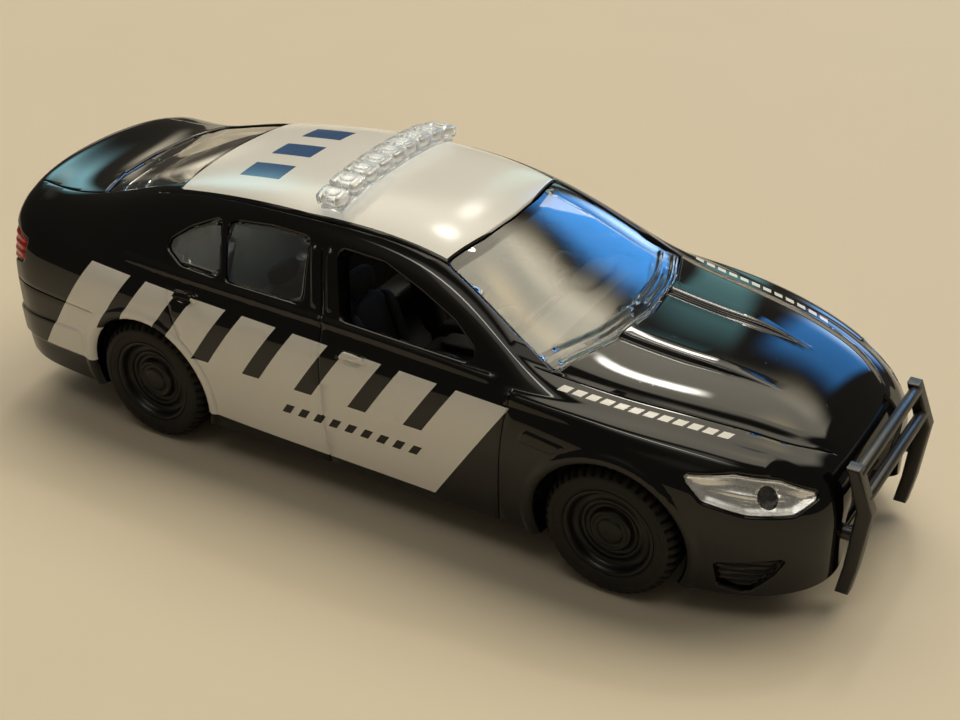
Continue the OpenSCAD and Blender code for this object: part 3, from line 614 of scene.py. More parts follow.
def dash_print(dash):
    """A dash beside the hood's edge."""
    def sides(s):
        q = across_y(HOOD_LINE)(s) - DASH_SHIFT
        lean = s.x + DASH_LEAN * q - dash
        return box_sides(q, (-DASH_WIDTH / 2, DASH_WIDTH / 2), lean, (0, DASH_LENGTH)) + [DASH_LOW - s.z]
    return sides


WHITE_PRINTS = [livery_sides, roof_sides] + [dash_print(dash) for dash in DASHES]
BLACK_PRINTS = [bar_print(slot, SLOT_WIDTH, SLOT_Z) for slot in SLOTS]
BLACK_PRINTS += [bar_print(tick, TICK_WIDTH, TICKS_Z) for tick in TICKS]
BLUE_PRINTS = [roof_print(block) for block in ROOF_BLOCKS]
PRINTS = WHITE_PRINTS + BLACK_PRINTS + BLUE_PRINTS


def any_inside(prints, s):
    return np.any([np.maximum.reduce(sides(s)) < 0 for sides in prints], axis=0)


def paint_index(s):
    """Which finish a place has: 0 black, 1 white, 2 blue."""
    white = any_inside(WHITE_PRINTS, s) & ~any_inside(BLACK_PRINTS, s)
    return np.where(white & any_inside(BLUE_PRINTS, s), 2, white.astype(int))


# Meshes on the skin, and how many faces they have per station and per place of a section
BODY_GRID = (6, 5)
GLAZING_GRID = (7, 6)
LAMP_GRID = (12, 12)
GRILLE_GRID = (14, 10)
# How far past a print's edge its lines are cut, and how often the place of a cut is refined
PRINT_OVERRUN = 0.3
CUT_ROUNDS = 3


class Patch:
    """Triangles over a range of the skin, which can be cut along lines."""

    def __init__(self, stations, places, per_station, per_place):
        u = np.linspace(*stations, round((stations[1] - stations[0]) * per_station) + 1)
        v = np.linspace(*places, round((places[1] - places[0]) * per_place) + 1)
        grid_u, grid_v = np.meshgrid(u, v, indexing="ij")
        self.uv = np.column_stack([grid_u.ravel(), grid_v.ravel()])
        a = np.arange(len(u) * len(v)).reshape(len(u), len(v))
        corners = [a[:-1, :-1], a[1:, :-1], a[1:, 1:], a[:-1, 1:]]
        a, b, c, d = [corner.ravel() for corner in corners]
        self.faces = np.concatenate([np.column_stack([a, d, c]), np.column_stack([a, c, b])])

    def spots(self):
        return Spots(*self.uv.T)

    def middles(self):
        return Spots(*self.uv[self.faces].mean(1).T)

    def cut(self, value, near=None, snap=0.012):
        """Adds the line where a value over the corners is zero, as edges, where it is near."""
        s = self.spots()
        corner_value = value(s)
        corner_value[np.abs(corner_value) < snap] = 0
        edges = np.stack([self.faces, np.roll(self.faces, -1, 1)], 2)
        ends = corner_value[edges]
        crossed = ends[..., 0] * ends[..., 1] < 0
        if not crossed.any():
            return
        pairs = np.sort(edges[crossed], 1)
        unique, back = np.unique(pairs, axis=0, return_inverse=True)
        low, high = corner_value[unique[:, 0]], corner_value[unique[:, 1]]
        low_uv, high_uv = self.uv[unique[:, 0]], self.uv[unique[:, 1]]
        for _ in range(CUT_ROUNDS):
            share = (low / (low - high))[:, None]
            new_uv = low_uv * (1 - share) + high_uv * share
            found = value(Spots(*new_uv.T))
            before = found * low > 0
            low, high = np.where(before, found, low), np.where(before, high, found)
            low_uv = np.where(before[:, None], new_uv, low_uv)
            high_uv = np.where(before[:, None], high_uv, new_uv)
        kept = np.ones(len(unique), bool) if near is None else near(Spots(*new_uv.T))
        number = np.where(kept, len(self.uv) + np.cumsum(kept) - 1, -1)
        middle = np.full(self.faces.shape, -1)
        middle[crossed] = number[back.ravel()]
        self.uv = np.concatenate([self.uv, new_uv[kept]])
        self.faces = split_faces(self.faces, middle)

    def cut_forms(self, forms):
        for form in forms:
            for level in form.levels:
                self.cut(lambda s: form.gap(s) - level, form.near)

    def keep(self, chosen):
        """A copy with only the chosen faces."""
        patch = Patch.__new__(Patch)
        used, faces = np.unique(self.faces[chosen], return_inverse=True)
        patch.uv = self.uv[used]
        patch.faces = faces.reshape(-1, 3)
        return patch


def split_faces(faces, middle):
    """Splits triangles at new points on one or two of their edges."""
    count = (middle >= 0).sum(1)
    result = [faces[count == 0]]
    for k in range(3):
        a, b, c = [faces[:, (k + step) % 3] for step in range(3)]
        p, q, r = [middle[:, (k + step) % 3] for step in range(3)]
        one = (count == 1) & (p >= 0)
        result += [np.column_stack([a, p, c])[one], np.column_stack([p, b, c])[one]]
        two = (count == 2) & (p >= 0) & (q >= 0)
        result += [np.column_stack([p, b, q])[two], np.column_stack([a, p, q])[two],
                   np.column_stack([a, q, c])[two]]
    return np.concatenate(result)


def rim_edges(faces):
    """Directed edges that only one face has."""
    edges = np.concatenate([faces[:, [0, 1]], faces[:, [1, 2]], faces[:, [2, 0]]])
    key = np.sort(edges, 1)
    unique, first, count = np.unique(key, axis=0, return_index=True, return_counts=True)
    return edges[first[count == 1]]


def make_object(name, points, faces, finishes, indices=None, flat=None, normals=None):
    """A mesh object from points in millimetres."""
    mesh = bpy.data.meshes.new(name)
    mesh.from_pydata((np.asarray(points) * MM).tolist(), [], [list(map(int, face)) for face in faces])
    for finish in finishes:
        mesh.materials.append(finish)
    if indices is not None:
        mesh.polygons.foreach_set("material_index", np.asarray(indices, np.int32))
    shade = np.ones(len(mesh.polygons), bool) if flat is None else ~np.asarray(flat)
    mesh.polygons.foreach_set("use_smooth", shade)
    if normals is not None:
        mesh.normals_split_custom_set([tuple(n) for n in normals])
    mesh.update()
    piece = bpy.data.objects.new(name, mesh)
    bpy.context.scene.collection.objects.link(piece)
    return piece


def place_piece(piece, body, slot, nodes=()):
    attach(piece, body)
    if nodes:
        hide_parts(*nodes)


# Below this share of agreement with the plain skin a normal counts as folded over
FOLDED = 0.1
LEAST_AREA = 1e-7


def shell_arrays(patch, outer, inner):
    """Outer and inner points of a patch, its outer normals, and which of its faces have an area."""
    u, v = patch.uv.T
    top, bottom = outer(u, v), inner(u, v)
    normal = slope_normal(outer, u, v)
    plain = slope_normal(skin_point, u, v)
    folded = (normal * plain).sum(1) < FOLDED
    normal[folded] = plain[folded]
    a, b, c = top[patch.faces].swapaxes(0, 1)
    solid = np.linalg.norm(np.cross(b - a, c - a), axis=1) > LEAST_AREA
    return top, bottom, normal, solid


def skin_shell(name, patch, outer, inner, finishes, indices=None, joined=True, side=1, flat_faces=None):
    """A closed shell between two surfaces over a patch, on both sides of the car or on one."""
    top, bottom, normal, solid = shell_arrays(patch, outer, inner)
    faces = patch.faces[solid]
    indices = np.zeros(len(faces), int) if indices is None else indices[solid]
    walls = np.zeros(len(faces), bool) if flat_faces is None else flat_faces[solid]
    count = len(top)
    on_middle = patch.uv[:, 1] > MIDDLE - 1e-6
    points, parts, all_indices, flat, corner_normals = [], [], [], [], []
    for mirror in (1, -1) if joined else (side,):
        start = 2 * count * len(points)
        points.append(np.concatenate([top, bottom]) * (1, mirror, 1))
        turn = slice(None) if mirror > 0 else slice(None, None, -1)
        rim = rim_edges(faces)
        if joined:
            rim = rim[~(on_middle[rim[:, 0]] & on_middle[rim[:, 1]])]
        strips = np.column_stack([rim[:, 1], rim[:, 0], rim[:, 0] + count, rim[:, 1] + count])
        parts += [part[:, turn] + start for part in (faces, faces[:, ::-1] + count, strips)]
        all_indices += [indices, np.zeros(len(faces) + len(strips), int)]
        flat += [walls, np.zeros(len(faces), bool), np.ones(len(strips), bool)]
        facing = (normal * (1, mirror, 1))[faces[:, turn].ravel()]
        facing[np.repeat(walls, 3)] = 0
        corner_normals += [facing, np.zeros((3 * len(faces) + 4 * len(strips), 3))]
    points = np.concatenate(points)
    same = np.arange(len(points))
    if joined:
        seam = np.nonzero(on_middle)[0]
        for layer in (0, count):
            same[seam + 2 * count + layer] = seam + layer
    used = np.unique(np.concatenate([same[part].ravel() for part in parts]))
    number = np.zeros(len(points), int)
    number[used] = np.arange(len(used))
    all_faces = [face for part in parts for face in number[same[part]].tolist()]
    return make_object(name, points[used], all_faces, finishes, np.concatenate(all_indices),
                       np.concatenate(flat), np.concatenate(corner_normals))


def lifted(lift):
    """A surface that stands off the skin by a lift, square to it."""
    def place(u, v):
        s = Spots(u, v)
        off = np.broadcast_to(lift(s), len(u))[:, None]
        return np.column_stack([s.x, s.y, s.z]) + slope_normal(skin_point, u, v) * off
    return place


def sunk(inset):
    return lambda u, v: skin_point(u, v, inset)


# Finishes


class Value:
    """A shader socket that joins in sums; each sum adds a Math node."""

    def __init__(self, finish, socket):
        self.finish, self.socket = finish, socket

    def math(self, operation, first, second):
        return self.finish.node("ShaderNodeMath", {"operation": operation}, {0: first, 1: second})

    def __add__(self, other):
        return self.math("ADD", self, other)

    def __sub__(self, other):
        return self.math("SUBTRACT", self, other)

    def __rsub__(self, other):
        return self.math("SUBTRACT", other, self)

    def __mul__(self, other):
        return self.math("MULTIPLY", self, other)

    __radd__ = __add__
    __rmul__ = __mul__

    def above(self, edge, width):
        """Rises from 0 to 1 across an edge."""
        return self.finish.node("ShaderNodeMapRange", {"interpolation_type": "SMOOTHSTEP"},
                                {"Value": self, "From Min": edge - width, "From Max": edge + width})


class Finish:
    """A material under construction."""

    def __init__(self, name):
        self.material = bpy.data.materials.new(name)
        self.material.use_nodes = True
        self.tree = self.material.node_tree
        self.shader = self.tree.nodes["Principled BSDF"]

    def node(self, kind, settings=(), inputs=(), output=0):
        """Adds any node: its settings first, then the values or links of its sockets."""
        node = self.tree.nodes.new(kind)
        for key, value in dict(settings).items():
            setattr(node, key, value)
        for key, value in dict(inputs).items():
            self.feed(node.inputs[key], value)
        return Value(self, node.outputs[output])

    def feed(self, socket, value):
        if isinstance(value, Value):
            self.tree.links.new(value.socket, socket)
        else:
            socket.default_value = (*value, 1.0) if socket.type == "RGBA" else value

    def set(self, **sockets):
        for key, value in sockets.items():
            self.feed(self.shader.inputs[key.replace("_", " ")], value)
        return self

    def place(self):
        return self.node("ShaderNodeTexCoord", output="Object")

    def noise(self, size, detail=3.0, rough=0.5, stretch=None):
        """Noise with features of about a size in millimetres."""
        place = self.place()
        if stretch:
            place = self.node("ShaderNodeVectorMath", {"operation": "MULTIPLY"}, {0: place, 1: stretch})
        return self.node("ShaderNodeTexNoise", (), {"Vector": place, "Scale": 1 / (size * MM),
                                                    "Detail": detail, "Roughness": rough})

    def blend(self, share, first, second):
        """Colour between two colours."""
        return self.node("ShaderNodeMix", {"data_type": "RGBA"}, {0: share, 6: first, 7: second}, 2)

    def bump(self, height, depth, strength=1.0):
        """Relief of a depth in millimetres."""
        self.set(Normal=self.node("ShaderNodeBump", (), {"Strength": strength, "Distance": depth * MM,
                                                         "Height": height}))
        return self


def gloss_paint(name, base, pale, rough=0.06, shine=0.5):
    """Sprayed gloss paint: faint orange peel, handling haze and specks of dust."""
    f = Finish(name)
    haze = f.noise(9, 4).above(0.55, 0.25)
    specks = f.noise(0.35, 1).above(0.76, 0.03)
    f.set(Base_Color=f.blend(haze * 0.35 + specks * 0.3, base, pale))
    f.set(Roughness=rough + 0.04 * haze + 0.1 * specks, Specular_IOR_Level=shine)
    return f.bump(f.noise(1.4, 2), 0.02, 0.05).material


def moulded_plastic(name, base, pale, rough, grain=0.25, relief=0.03, shine=0.5):
    """Moulded plastic: a fine spark-eroded grain, slight flow marks and worn shine."""
    f = Finish(name)
    grains = f.noise(grain, 3)
    flow = f.noise(6, 3, stretch=(1, 1, 2.5))
    f.set(Base_Color=f.blend(flow * 0.7 + grains * 0.3, base, pale))
    f.set(Roughness=rough - 0.1 + 0.14 * flow + 0.08 * grains, Specular_IOR_Level=shine)
    return f.bump(grains, relief, 0.5).material


def clear_plastic(name, tint, rough=0.02, coat=0.0, clear=1.0):
    """Clear moulded plastic: bright, with faint handling haze, and light passes through it."""
    f = Finish(name)
    haze = f.noise(5, 4).above(0.6, 0.2)
    f.set(Base_Color=f.blend(haze * 0.2, tint, (0.9, 0.9, 0.9)), Roughness=rough + 0.04 * haze)
    f.set(IOR=1.49, Transmission_Weight=clear, Coat_Weight=coat)
    f.bump(f.noise(6, 1), 0.02, 0.08)
    output = f.tree.nodes["Material Output"]
    path = f.node("ShaderNodeLightPath", output="Is Shadow Ray")
    through = f.node("ShaderNodeBsdfTransparent", (), {"Color": tint})
    mixed = f.node("ShaderNodeMixShader", (), {0: path, 1: Value(f, f.shader.outputs[0]), 2: through})
    f.feed(output.inputs["Surface"], mixed)
    return f.material


def steel(name, base, pale, rough):
    """Turned steel: fine rings and slight tarnish."""
    f = Finish(name)
    rings = f.noise(0.12, 2, stretch=(1, 12, 1))
    stain = f.noise(3, 4)
    f.set(Base_Color=f.blend(stain, base, pale), Metallic=1.0, Roughness=rough + 0.15 * rings + 0.1 * stain)
    return f.bump(rings, 0.01, 0.3).material


def rubber(name):
    """Tyre rubber: matt, with a dry bloom and mould grain."""
    f = Finish(name)
    bloom = f.noise(2.2, 5, 0.6)
    grain = f.noise(0.18, 2)
    f.set(Base_Color=f.blend(bloom, (0.008, 0.0075, 0.007), (0.02, 0.018, 0.016)))
    f.set(Roughness=0.52 + 0.22 * bloom, Specular_IOR_Level=0.25)
    return f.bump(grain, 0.03, 0.5).material


def floor_finish():
    """Pale beige floor with the faintest mottle."""
    f = Finish("pale_floor")
    mottle = f.noise(26, 4)
    f.set(Base_Color=f.blend(mottle, (0.70, 0.62, 0.49), (0.74, 0.66, 0.53)))
    f.set(Roughness=0.75 + 0.1 * mottle)
    return f.material


BLACK_PAINT = gloss_paint("gloss_black_paint", (0.003, 0.003, 0.0035), (0.007, 0.0065, 0.006), 0.035, 0.4)
WHITE_PRINT = gloss_paint("white_print", (0.80, 0.80, 0.79), (0.72, 0.71, 0.69), 0.16)
BLUE_PRINT = gloss_paint("blue_print", (0.03, 0.09, 0.24), (0.06, 0.14, 0.3), 0.16)
WINDOW_CLEAR = clear_plastic("window_clear", (0.82, 0.83, 0.82), 0.02, 0.5)
WIPER_CLEAR = clear_plastic("wiper_clear", (0.4, 0.4, 0.42), 0.08)
LAMP_CLEAR = clear_plastic("lamp_clear", (0.95, 0.96, 0.97))
BAR_CLEAR = clear_plastic("light_bar_clear", (0.97, 0.985, 1.0), 0.05, 0.3, 0.86)
LAMP_SILVER = steel("lamp_silver", (0.92, 0.92, 0.93), (0.82, 0.82, 0.83), 0.16)
RED_LENS = gloss_paint("red_lens", (0.42, 0.012, 0.01), (0.3, 0.01, 0.01), 0.1)
TRIM_BLACK = moulded_plastic("trim_black", (0.006, 0.006, 0.0065), (0.012, 0.0115, 0.011), 0.4)
PUSH_BAR_BLACK = moulded_plastic("push_bar_black", (0.009, 0.0085, 0.008), (0.016, 0.015, 0.013), 0.36)
CHASSIS_BLACK = moulded_plastic("chassis_black", (0.02, 0.02, 0.021), (0.034, 0.033, 0.032), 0.5)
CABIN_GREY = moulded_plastic("cabin_grey", (0.014, 0.0135, 0.0135), (0.026, 0.025, 0.024), 0.55)
RIM_BLACK = moulded_plastic("rim_black", (0.006, 0.006, 0.006), (0.009, 0.0085, 0.008), 0.36,
                            grain=0.2, relief=0.02, shine=0.3)
TYRE_RUBBER = rubber("tyre_rubber")
AXLE_STEEL = steel("axle_steel", (0.6, 0.6, 0.61), (0.45, 0.44, 0.43), 0.25)
SCREW_STEEL = steel("screw_steel", (0.55, 0.54, 0.53), (0.36, 0.34, 0.32), 0.35)


# Body, glazing and what is set into them


def make_body():
    patch = Patch((-1, LAST_STATION + 1), (0, MIDDLE), *BODY_GRID)
    patch.cut_forms(FORMS)
    for sides in PRINTS:
        for k in range(len(sides(patch.spots()))):
            patch.cut(lambda s: sides(s)[k], lambda s: np.maximum.reduce(sides(s)) < PRINT_OVERRUN)
    middles = patch.middles()
    open_face = np.any([form.gap(middles) < 0 for form in OPENINGS], axis=0)
    kept = patch.keep(~open_face)
    index = paint_index(kept.middles())
    piece = skin_shell("body", kept, lifted(body_lift), sunk(WALL), [BLACK_PAINT, WHITE_PRINT, BLUE_PRINT],
                       index)
    place_piece(piece, "car", "body_paint", ["body_shell"])


# The clear moulding lies against the inside of the body; its panes stand out into the openings, with a
# steep step round each, and it ends below at its foot
PANES = [rear_window, quarter_window, windscreen, backlight]
PANE_T = 0.8
PANE_STEP = 0.06
GLAZING_FOOT_Z = GLAZING_LOW_Z + 0.6
COWL_X = 12


def pane_gap(s):
    return np.minimum.reduce([pane.gap(s) for pane in PANES]) + FIT_GAP


def screen_foot(y):
    """Lower edge of the windscreen in plan."""
    foot = [(b * HALF_WIDTH, along(a)) for a, b in WINDSCREEN_SHARES[:3]]
    return curve(foot, np.abs(y)) + WINDOW_CORNER


def screen_bead(back, places, width, height):
    """A bead along the foot of the windscreen, a way behind its lower edge."""
    return Line(lambda s: s.x - screen_foot(s.y) + back, reach(y=places, x=(COWL_X, FAR)), width, height)


# Wipers and the cowl strip, moulded in the clear piece
wiper_blade = screen_bead(back=1.75, places=(0.5, 9.6), width=0.55, height=0.42)
wiper_arm = screen_bead(back=1.15, places=(1.2, 6.4), width=0.45, height=0.34)
cowl_strip = screen_bead(back=0.55, places=(-1, 10.4), width=0.7, height=0.3)
SCREEN_LINES = [wiper_blade, wiper_arm, cowl_strip]


def make_glazing():
    def outer(u, v):
        s = Spots(u, v)
        gap = pane_gap(s)
        relief = sum(line.lift(s) for line in SCREEN_LINES) * smooth(-gap / 0.3)
        step = (WALL + FIT_GAP - PANE_INSET) * smooth(gap / PANE_STEP)
        return skin_point(u, v, PANE_INSET - relief + step)

    patch = Patch(GLAZING_RANGE, (4.6, MIDDLE), *GLAZING_GRID)
    for level in (0, PANE_STEP):
        patch.cut(lambda s: pane_gap(s) - level)
    patch.cut_forms(SCREEN_LINES)
    patch.cut(lambda s: front_window.gap(s) - FIT_GAP)
    patch.cut(lambda s: s.z - GLAZING_FOOT_Z)
    middles = patch.middles()
    kept = patch.keep((front_window.gap(middles) > FIT_GAP) & (middles.z > GLAZING_FOOT_Z))
    middles = kept.middles()
    wall = np.abs(pane_gap(middles) - PANE_STEP / 2) < PANE_STEP / 2
    smoked = np.zeros(len(kept.faces), int)
    for line in (wiper_blade, wiper_arm):
        smoked[(np.abs(line.gap(middles)) < 0.45 * line.width) & line.near(middles)] = 1
    piece = skin_shell("glazing", kept, outer, sunk(WALL + FIT_GAP + PANE_T), [WINDOW_CLEAR, WIPER_CLEAR],
                       smoked, flat_faces=wall)
    place_piece(piece, "car", "clear_plastic", ["window_glazing"])


LAMP_CLEARANCE = 0.06
FLOOR_OVERLAP = 0.1
LENS_EDGE = 0.25
LENS_T = 0.3
HEADLIGHT_RANGE = ((14.2, 18.8), (3, 7.6))
TAIL_LIGHT_RANGE = ((-0.9, 4.6), (3.0, 11.5))
FOG_RANGE = ((15.0, 18.6), (0.0, 4.0))
# The lamp in the headlight: shares of length, half width and height, and its radius
BOWL_SHARES = (0.944, 0.762, 0.466)
BOWL_R = 0.8
# Ribs in the lamps and fog recesses: height and pitch
REFLECTOR_RIBS = (0.1, 0.62)
TAIL_RIBS = (0.05, 0.66)
FOG_RIBS = (0.15, 0.6)
# How far below the skin their floors and backs lie
REFLECTOR_DEPTH = 0.55
REFLECTOR_BACK = 1.25
BOWL_DEPTH = 0.5
TAIL_LENS_T = 0.7
FOG_DEPTH = 0.75
FOG_BACK = 1.2


def lamp_patch(opening, places, inset, level=None):
    """The skin inside an opening, less an inset, with one more line cut into it."""
    patch = Patch(*places, *LAMP_GRID)
    patch.cut(lambda s: opening.gap(s) + inset)
    if level:
        patch.cut(level)
    return patch.keep(opening.gap(patch.middles()) < -inset)


def make_pair(name, patch, outer, inner, finishes, slot, node=None, indices=None):
    """The same shell on both sides of the car."""
    for side, word in ((1, "_left"), (-1, "_right")):
        piece = skin_shell(name + word, patch, outer, inner, finishes, indices, joined=False, side=side)
        place_piece(piece, "car", slot, [node + word] if node else ())


def ribs(at, height, pitch):
    return height * ripple(at, pitch)


def level_lift(depth):
    return lifted(lambda s: -depth)


def lens_lift(opening):
    """A lens whose edge falls away in a quarter round."""
    def lift(s):
        share = np.clip(-opening.gap(s) - LAMP_CLEARANCE, 0, LENS_EDGE) / LENS_EDGE
        return -LENS_EDGE * (1 - np.sqrt(np.clip(1 - (1 - share) ** 2, 0, 1)))
    return lift


def bowl_gap(s):
    a, b, c = BOWL_SHARES
    across = turned(s.x, s.y, HEADLIGHT_TURN) - turned(along(a), b * HALF_WIDTH, HEADLIGHT_TURN)
    return np.hypot(across, s.z - c * ROOF_HEIGHT) - BOWL_R


def reflector_lift(s):
    """Floor of the headlight: ribs with a round bowl sunk in it."""
    wave = ribs(s.z + 0.16 * s.x, *REFLECTOR_RIBS)
    gap = headlight.gap(s)
    lift = -REFLECTOR_DEPTH + wave * smooth(-0.6 - gap) + 0.3 * smooth(1 + gap / 0.7)
    depth = np.sqrt(np.clip(-bowl_gap(s) / BOWL_R, 0, 1))
    return np.where(bowl_gap(s) < 0, -BOWL_DEPTH - BOWL_DEPTH * depth, lift)


def make_headlights():
    lens = lamp_patch(headlight, HEADLIGHT_RANGE, LAMP_CLEARANCE)
    make_pair("headlight", lens, lifted(lens_lift(headlight)), level_lift(LENS_T), [LAMP_CLEAR], "lamp_lens",
              "headlight_lens")
    floor = lamp_patch(headlight, HEADLIGHT_RANGE, -FLOOR_OVERLAP, bowl_gap)
    dark = bowl_gap(floor.middles()) < 0
    make_pair("headlight_reflector", floor, lifted(reflector_lift), level_lift(REFLECTOR_BACK),
              [LAMP_SILVER, TRIM_BLACK], "lamp_lens", indices=dark.astype(int))


def make_tail_lights():
    patch = lamp_patch(tail_light, TAIL_LIGHT_RANGE, LAMP_CLEARANCE)
    edge = lens_lift(tail_light)
    outer = lifted(lambda s: edge(s) + ribs(s.z, *TAIL_RIBS) - TAIL_RIBS[0])
    make_pair("tail_light", patch, outer, level_lift(TAIL_LENS_T), [RED_LENS], "red_lens", "tail_light")


SLAT_PITCH = 0.95
SLAT_BACK = 1.3
SLAT_DEPTH = 0.75
GRILLE_BACK = 1.7


def make_grille():
    patch = Patch((17, LAST_STATION + 1), (0, MIDDLE), *GRILLE_GRID)
    patch.cut(lambda s: grille_mouth.gap(s) - FLOOR_OVERLAP)
    kept = patch.keep(grille_mouth.gap(patch.middles()) < FLOOR_OVERLAP)

    def depth(s):
        wave = 0.5 + 0.5 * ripple(s.z - GRILLE_Z[0], SLAT_PITCH)
        return SLAT_DEPTH * wave ** 0.6 - SLAT_BACK

    def place(lift):
        def at(u, v):
            s = Spots(u, v)
            return np.column_stack([s.x + lift(s), s.y, s.z])
        return at

    piece = skin_shell("grille", kept, place(depth), place(lambda s: -GRILLE_BACK), [TRIM_BLACK])
    place_piece(piece, "car", "trim_plastic", ["grille_insert"])


def make_fog_recesses():
    patch = lamp_patch(fog_recess, FOG_RANGE, -FLOOR_OVERLAP)
    outer = lifted(lambda s: -FOG_DEPTH + ribs(s.z, *FOG_RIBS))
    make_pair("fog_recess", patch, outer, level_lift(FOG_BACK), [TRIM_BLACK], "trim_plastic")


# Solids made of rings, and the wheels


def full_turn(steps):
    return np.linspace(0, 2 * np.pi, steps, endpoint=False)


def loft(rings, closed=False, caps=True):
    """Points and faces of a skin through rings of points; it closes on itself, or may have caps."""
    rings = np.array(rings, float)
    index = np.arange(rings.shape[0] * rings.shape[1]).reshape(rings.shape[:2])
    low, high = index, np.roll(index, -1, 0)
    if not closed:
        low, high = low[:-1], high[:-1]
    faces = np.stack([low, np.roll(low, -1, 1), np.roll(high, -1, 1), high], 2).reshape(-1, 4).tolist()
    if caps and not closed:
        faces += [index[0, ::-1].tolist(), index[-1].tolist()]
    return rings.reshape(-1, 3), faces


def lathe(profile, turns, cut=0.0):
    """A profile of radius and place along the axis, turned about the Y axis, with cuts into its radius."""
    profile = np.array(profile, float)
    radius = profile[:, 0, None] - cut
    across = np.broadcast_to(profile[:, 1, None], (len(profile), len(turns)))
    return loft(np.stack([radius * np.cos(turns), across, radius * np.sin(turns)], 2), caps=False)


def rounded_path(corners, radius, steps=4):
    """An open path with its corners rounded."""
    corners = [np.array(c, float) for c in corners]
    path = [corners[0]]
    for before, corner, after in zip(corners, corners[1:], corners[2:]):
        into, out = before - corner, after - corner
        lengths = np.linalg.norm(into), np.linalg.norm(out)
        back = min(radius, 0.45 * lengths[0], 0.45 * lengths[1])
        start = corner + into / lengths[0] * back
        end = corner + out / lengths[1] * back
        for t in np.linspace(0, 1, steps + 1):
            path.append((1 - t) ** 2 * start + 2 * t * (1 - t) * corner + t ** 2 * end)
    return path + [corners[-1]]


# Outlines from the inner face outwards: radius and place along the axle
TYRE_PATH = [(3.7, 0.45), (3.85, 0.2), (4.35, 0.02), (4.95, 0.05), (5.32, 0.3), (5.6, 0.75), (5.6, 3.25),
             (5.32, 3.7), (4.95, 3.95), (4.62, 3.99), (4.55, 3.93), (4.3, 3.95), (3.95, 3.86), (3.82, 3.7),
             (3.7, 3.5)]
RIM_PATH = [(3.72, 0.4), (3.86, 0.4), (3.72, 0.8), (3.72, 3.3), (3.86, 3.62), (3.8, 3.78), (3.56, 3.76),
            (3.42, 3.55), (3.3, 3.1), (3.02, 2.92), (2.72, 2.98), (2.55, 3.12), (2.34, 3.12), (2.22, 2.9),
            (1.95, 2.86), (1.84, 3.0), (1.72, 3.3), (1.52, 3.38), (1.4, 3.26), (1.12, 3.26), (1.02, 3.42),
            (0.72, 3.5), (0.02, 3.54)]
RIM_STEPS = 96
TREAD_BLOCKS = 44
TREAD_DEPTH = 0.24
# Places round one block of the tread, as shares of its pitch, and where its notch starts
BLOCK_SHARES = (0.0, 0.3, 0.585, 0.615, 0.985)
NOTCH_SHARE = 0.6


def tread_cut(profile, turns):
    """Depth of the notches round the shoulders of a tyre, over its profile and turns."""
    radius, along_axle = np.array(profile).T
    shoulder = np.abs(along_axle - TYRE_WIDTH / 2) > 0.7
    depth = TREAD_DEPTH * smooth((radius - 5.08) / 0.25) * shoulder
    share = (turns / (2 * np.pi) * TREAD_BLOCKS) % 1
    return np.outer(depth, share > NOTCH_SHARE)


def make_wheels():
    tyre_path = rounded_path(TYRE_PATH, 0.25, 3)
    rim_path = rounded_path(RIM_PATH, 0.09, 2)
    shares = np.array([k + share for k in range(TREAD_BLOCKS) for share in BLOCK_SHARES])
    tyre_turns = shares / TREAD_BLOCKS * 2 * np.pi
    tyre = lathe(tyre_path, tyre_turns, tread_cut(tyre_path, tyre_turns))
    rim = lathe(rim_path, full_turn(RIM_STEPS))
    kinds = [("tyre", tyre, TYRE_RUBBER, "tyre_rubber"), ("rim", rim, RIM_BLACK, "rim_plastic")]
    for end, x in (("front", HALF_WHEELBASE), ("rear", -HALF_WHEELBASE)):
        for word, side in (("left", 1), ("right", -1)):
            for kind, (points, faces), finish, slot in kinds:
                placed = (points + (0, TYRE_INNER_Y, 0)) * (1, side, 1) + (x, 0, AXLE_Z)
                faces = [face[::side] for face in faces]
                where = "_%s_%s" % (end, word)
                piece = make_object(kind + "_dressed" + where, placed, faces, [finish])
                place_piece(piece, end + "_axle_set", slot, [kind + where])


# Blocks, plates and rods


def flex(t, power):
    return np.sign(t) * np.abs(t) ** (2 / power)


def block(size, place, tilt=0.0, roll=0.0, power=5.0, rounds=32, rows=17):
    """A rounded block: its size, where its middle is, a tilt about Y and a roll about X in degrees."""
    a = full_turn(rounds)
    b = np.linspace(-np.pi / 2, np.pi / 2, rows)[1:-1, None]
    wide = flex(np.cos(b), power)
    rings = [wide * flex(np.cos(a), power), wide * flex(np.sin(a), power), flex(np.sin(b), power) + 0 * a]
    points, faces = loft(np.stack(rings, 2), caps=False)
    foot, top = len(points), len(points) + 1
    points = np.concatenate([points, [(0, 0, -1), (0, 0, 1)]]) * np.array(size) / 2
    for k in range(rounds):
        after = (k + 1) % rounds
        faces += [(foot, after, k), (top, foot - rounds + k, foot - rounds + after)]
    turn = Matrix.Rotation(math.radians(tilt), 3, "Y") @ Matrix.Rotation(math.radians(roll), 3, "X")
    return points @ np.array(turn).T + np.array(place), faces


def grown(profile, by):
    """A closed outline moved outwards, drawn anticlockwise."""
    profile = np.array(profile, float)
    before, after = profile - np.roll(profile, 1, 0), np.roll(profile, -1, 0) - profile
    before /= np.linalg.norm(before, axis=1)[:, None]
    after /= np.linalg.norm(after, axis=1)[:, None]
    normal = np.column_stack([before[:, 1] + after[:, 1], -before[:, 0] - after[:, 0]])
    normal /= 1 + (before * after).sum(1)[:, None]
    return profile + by * normal


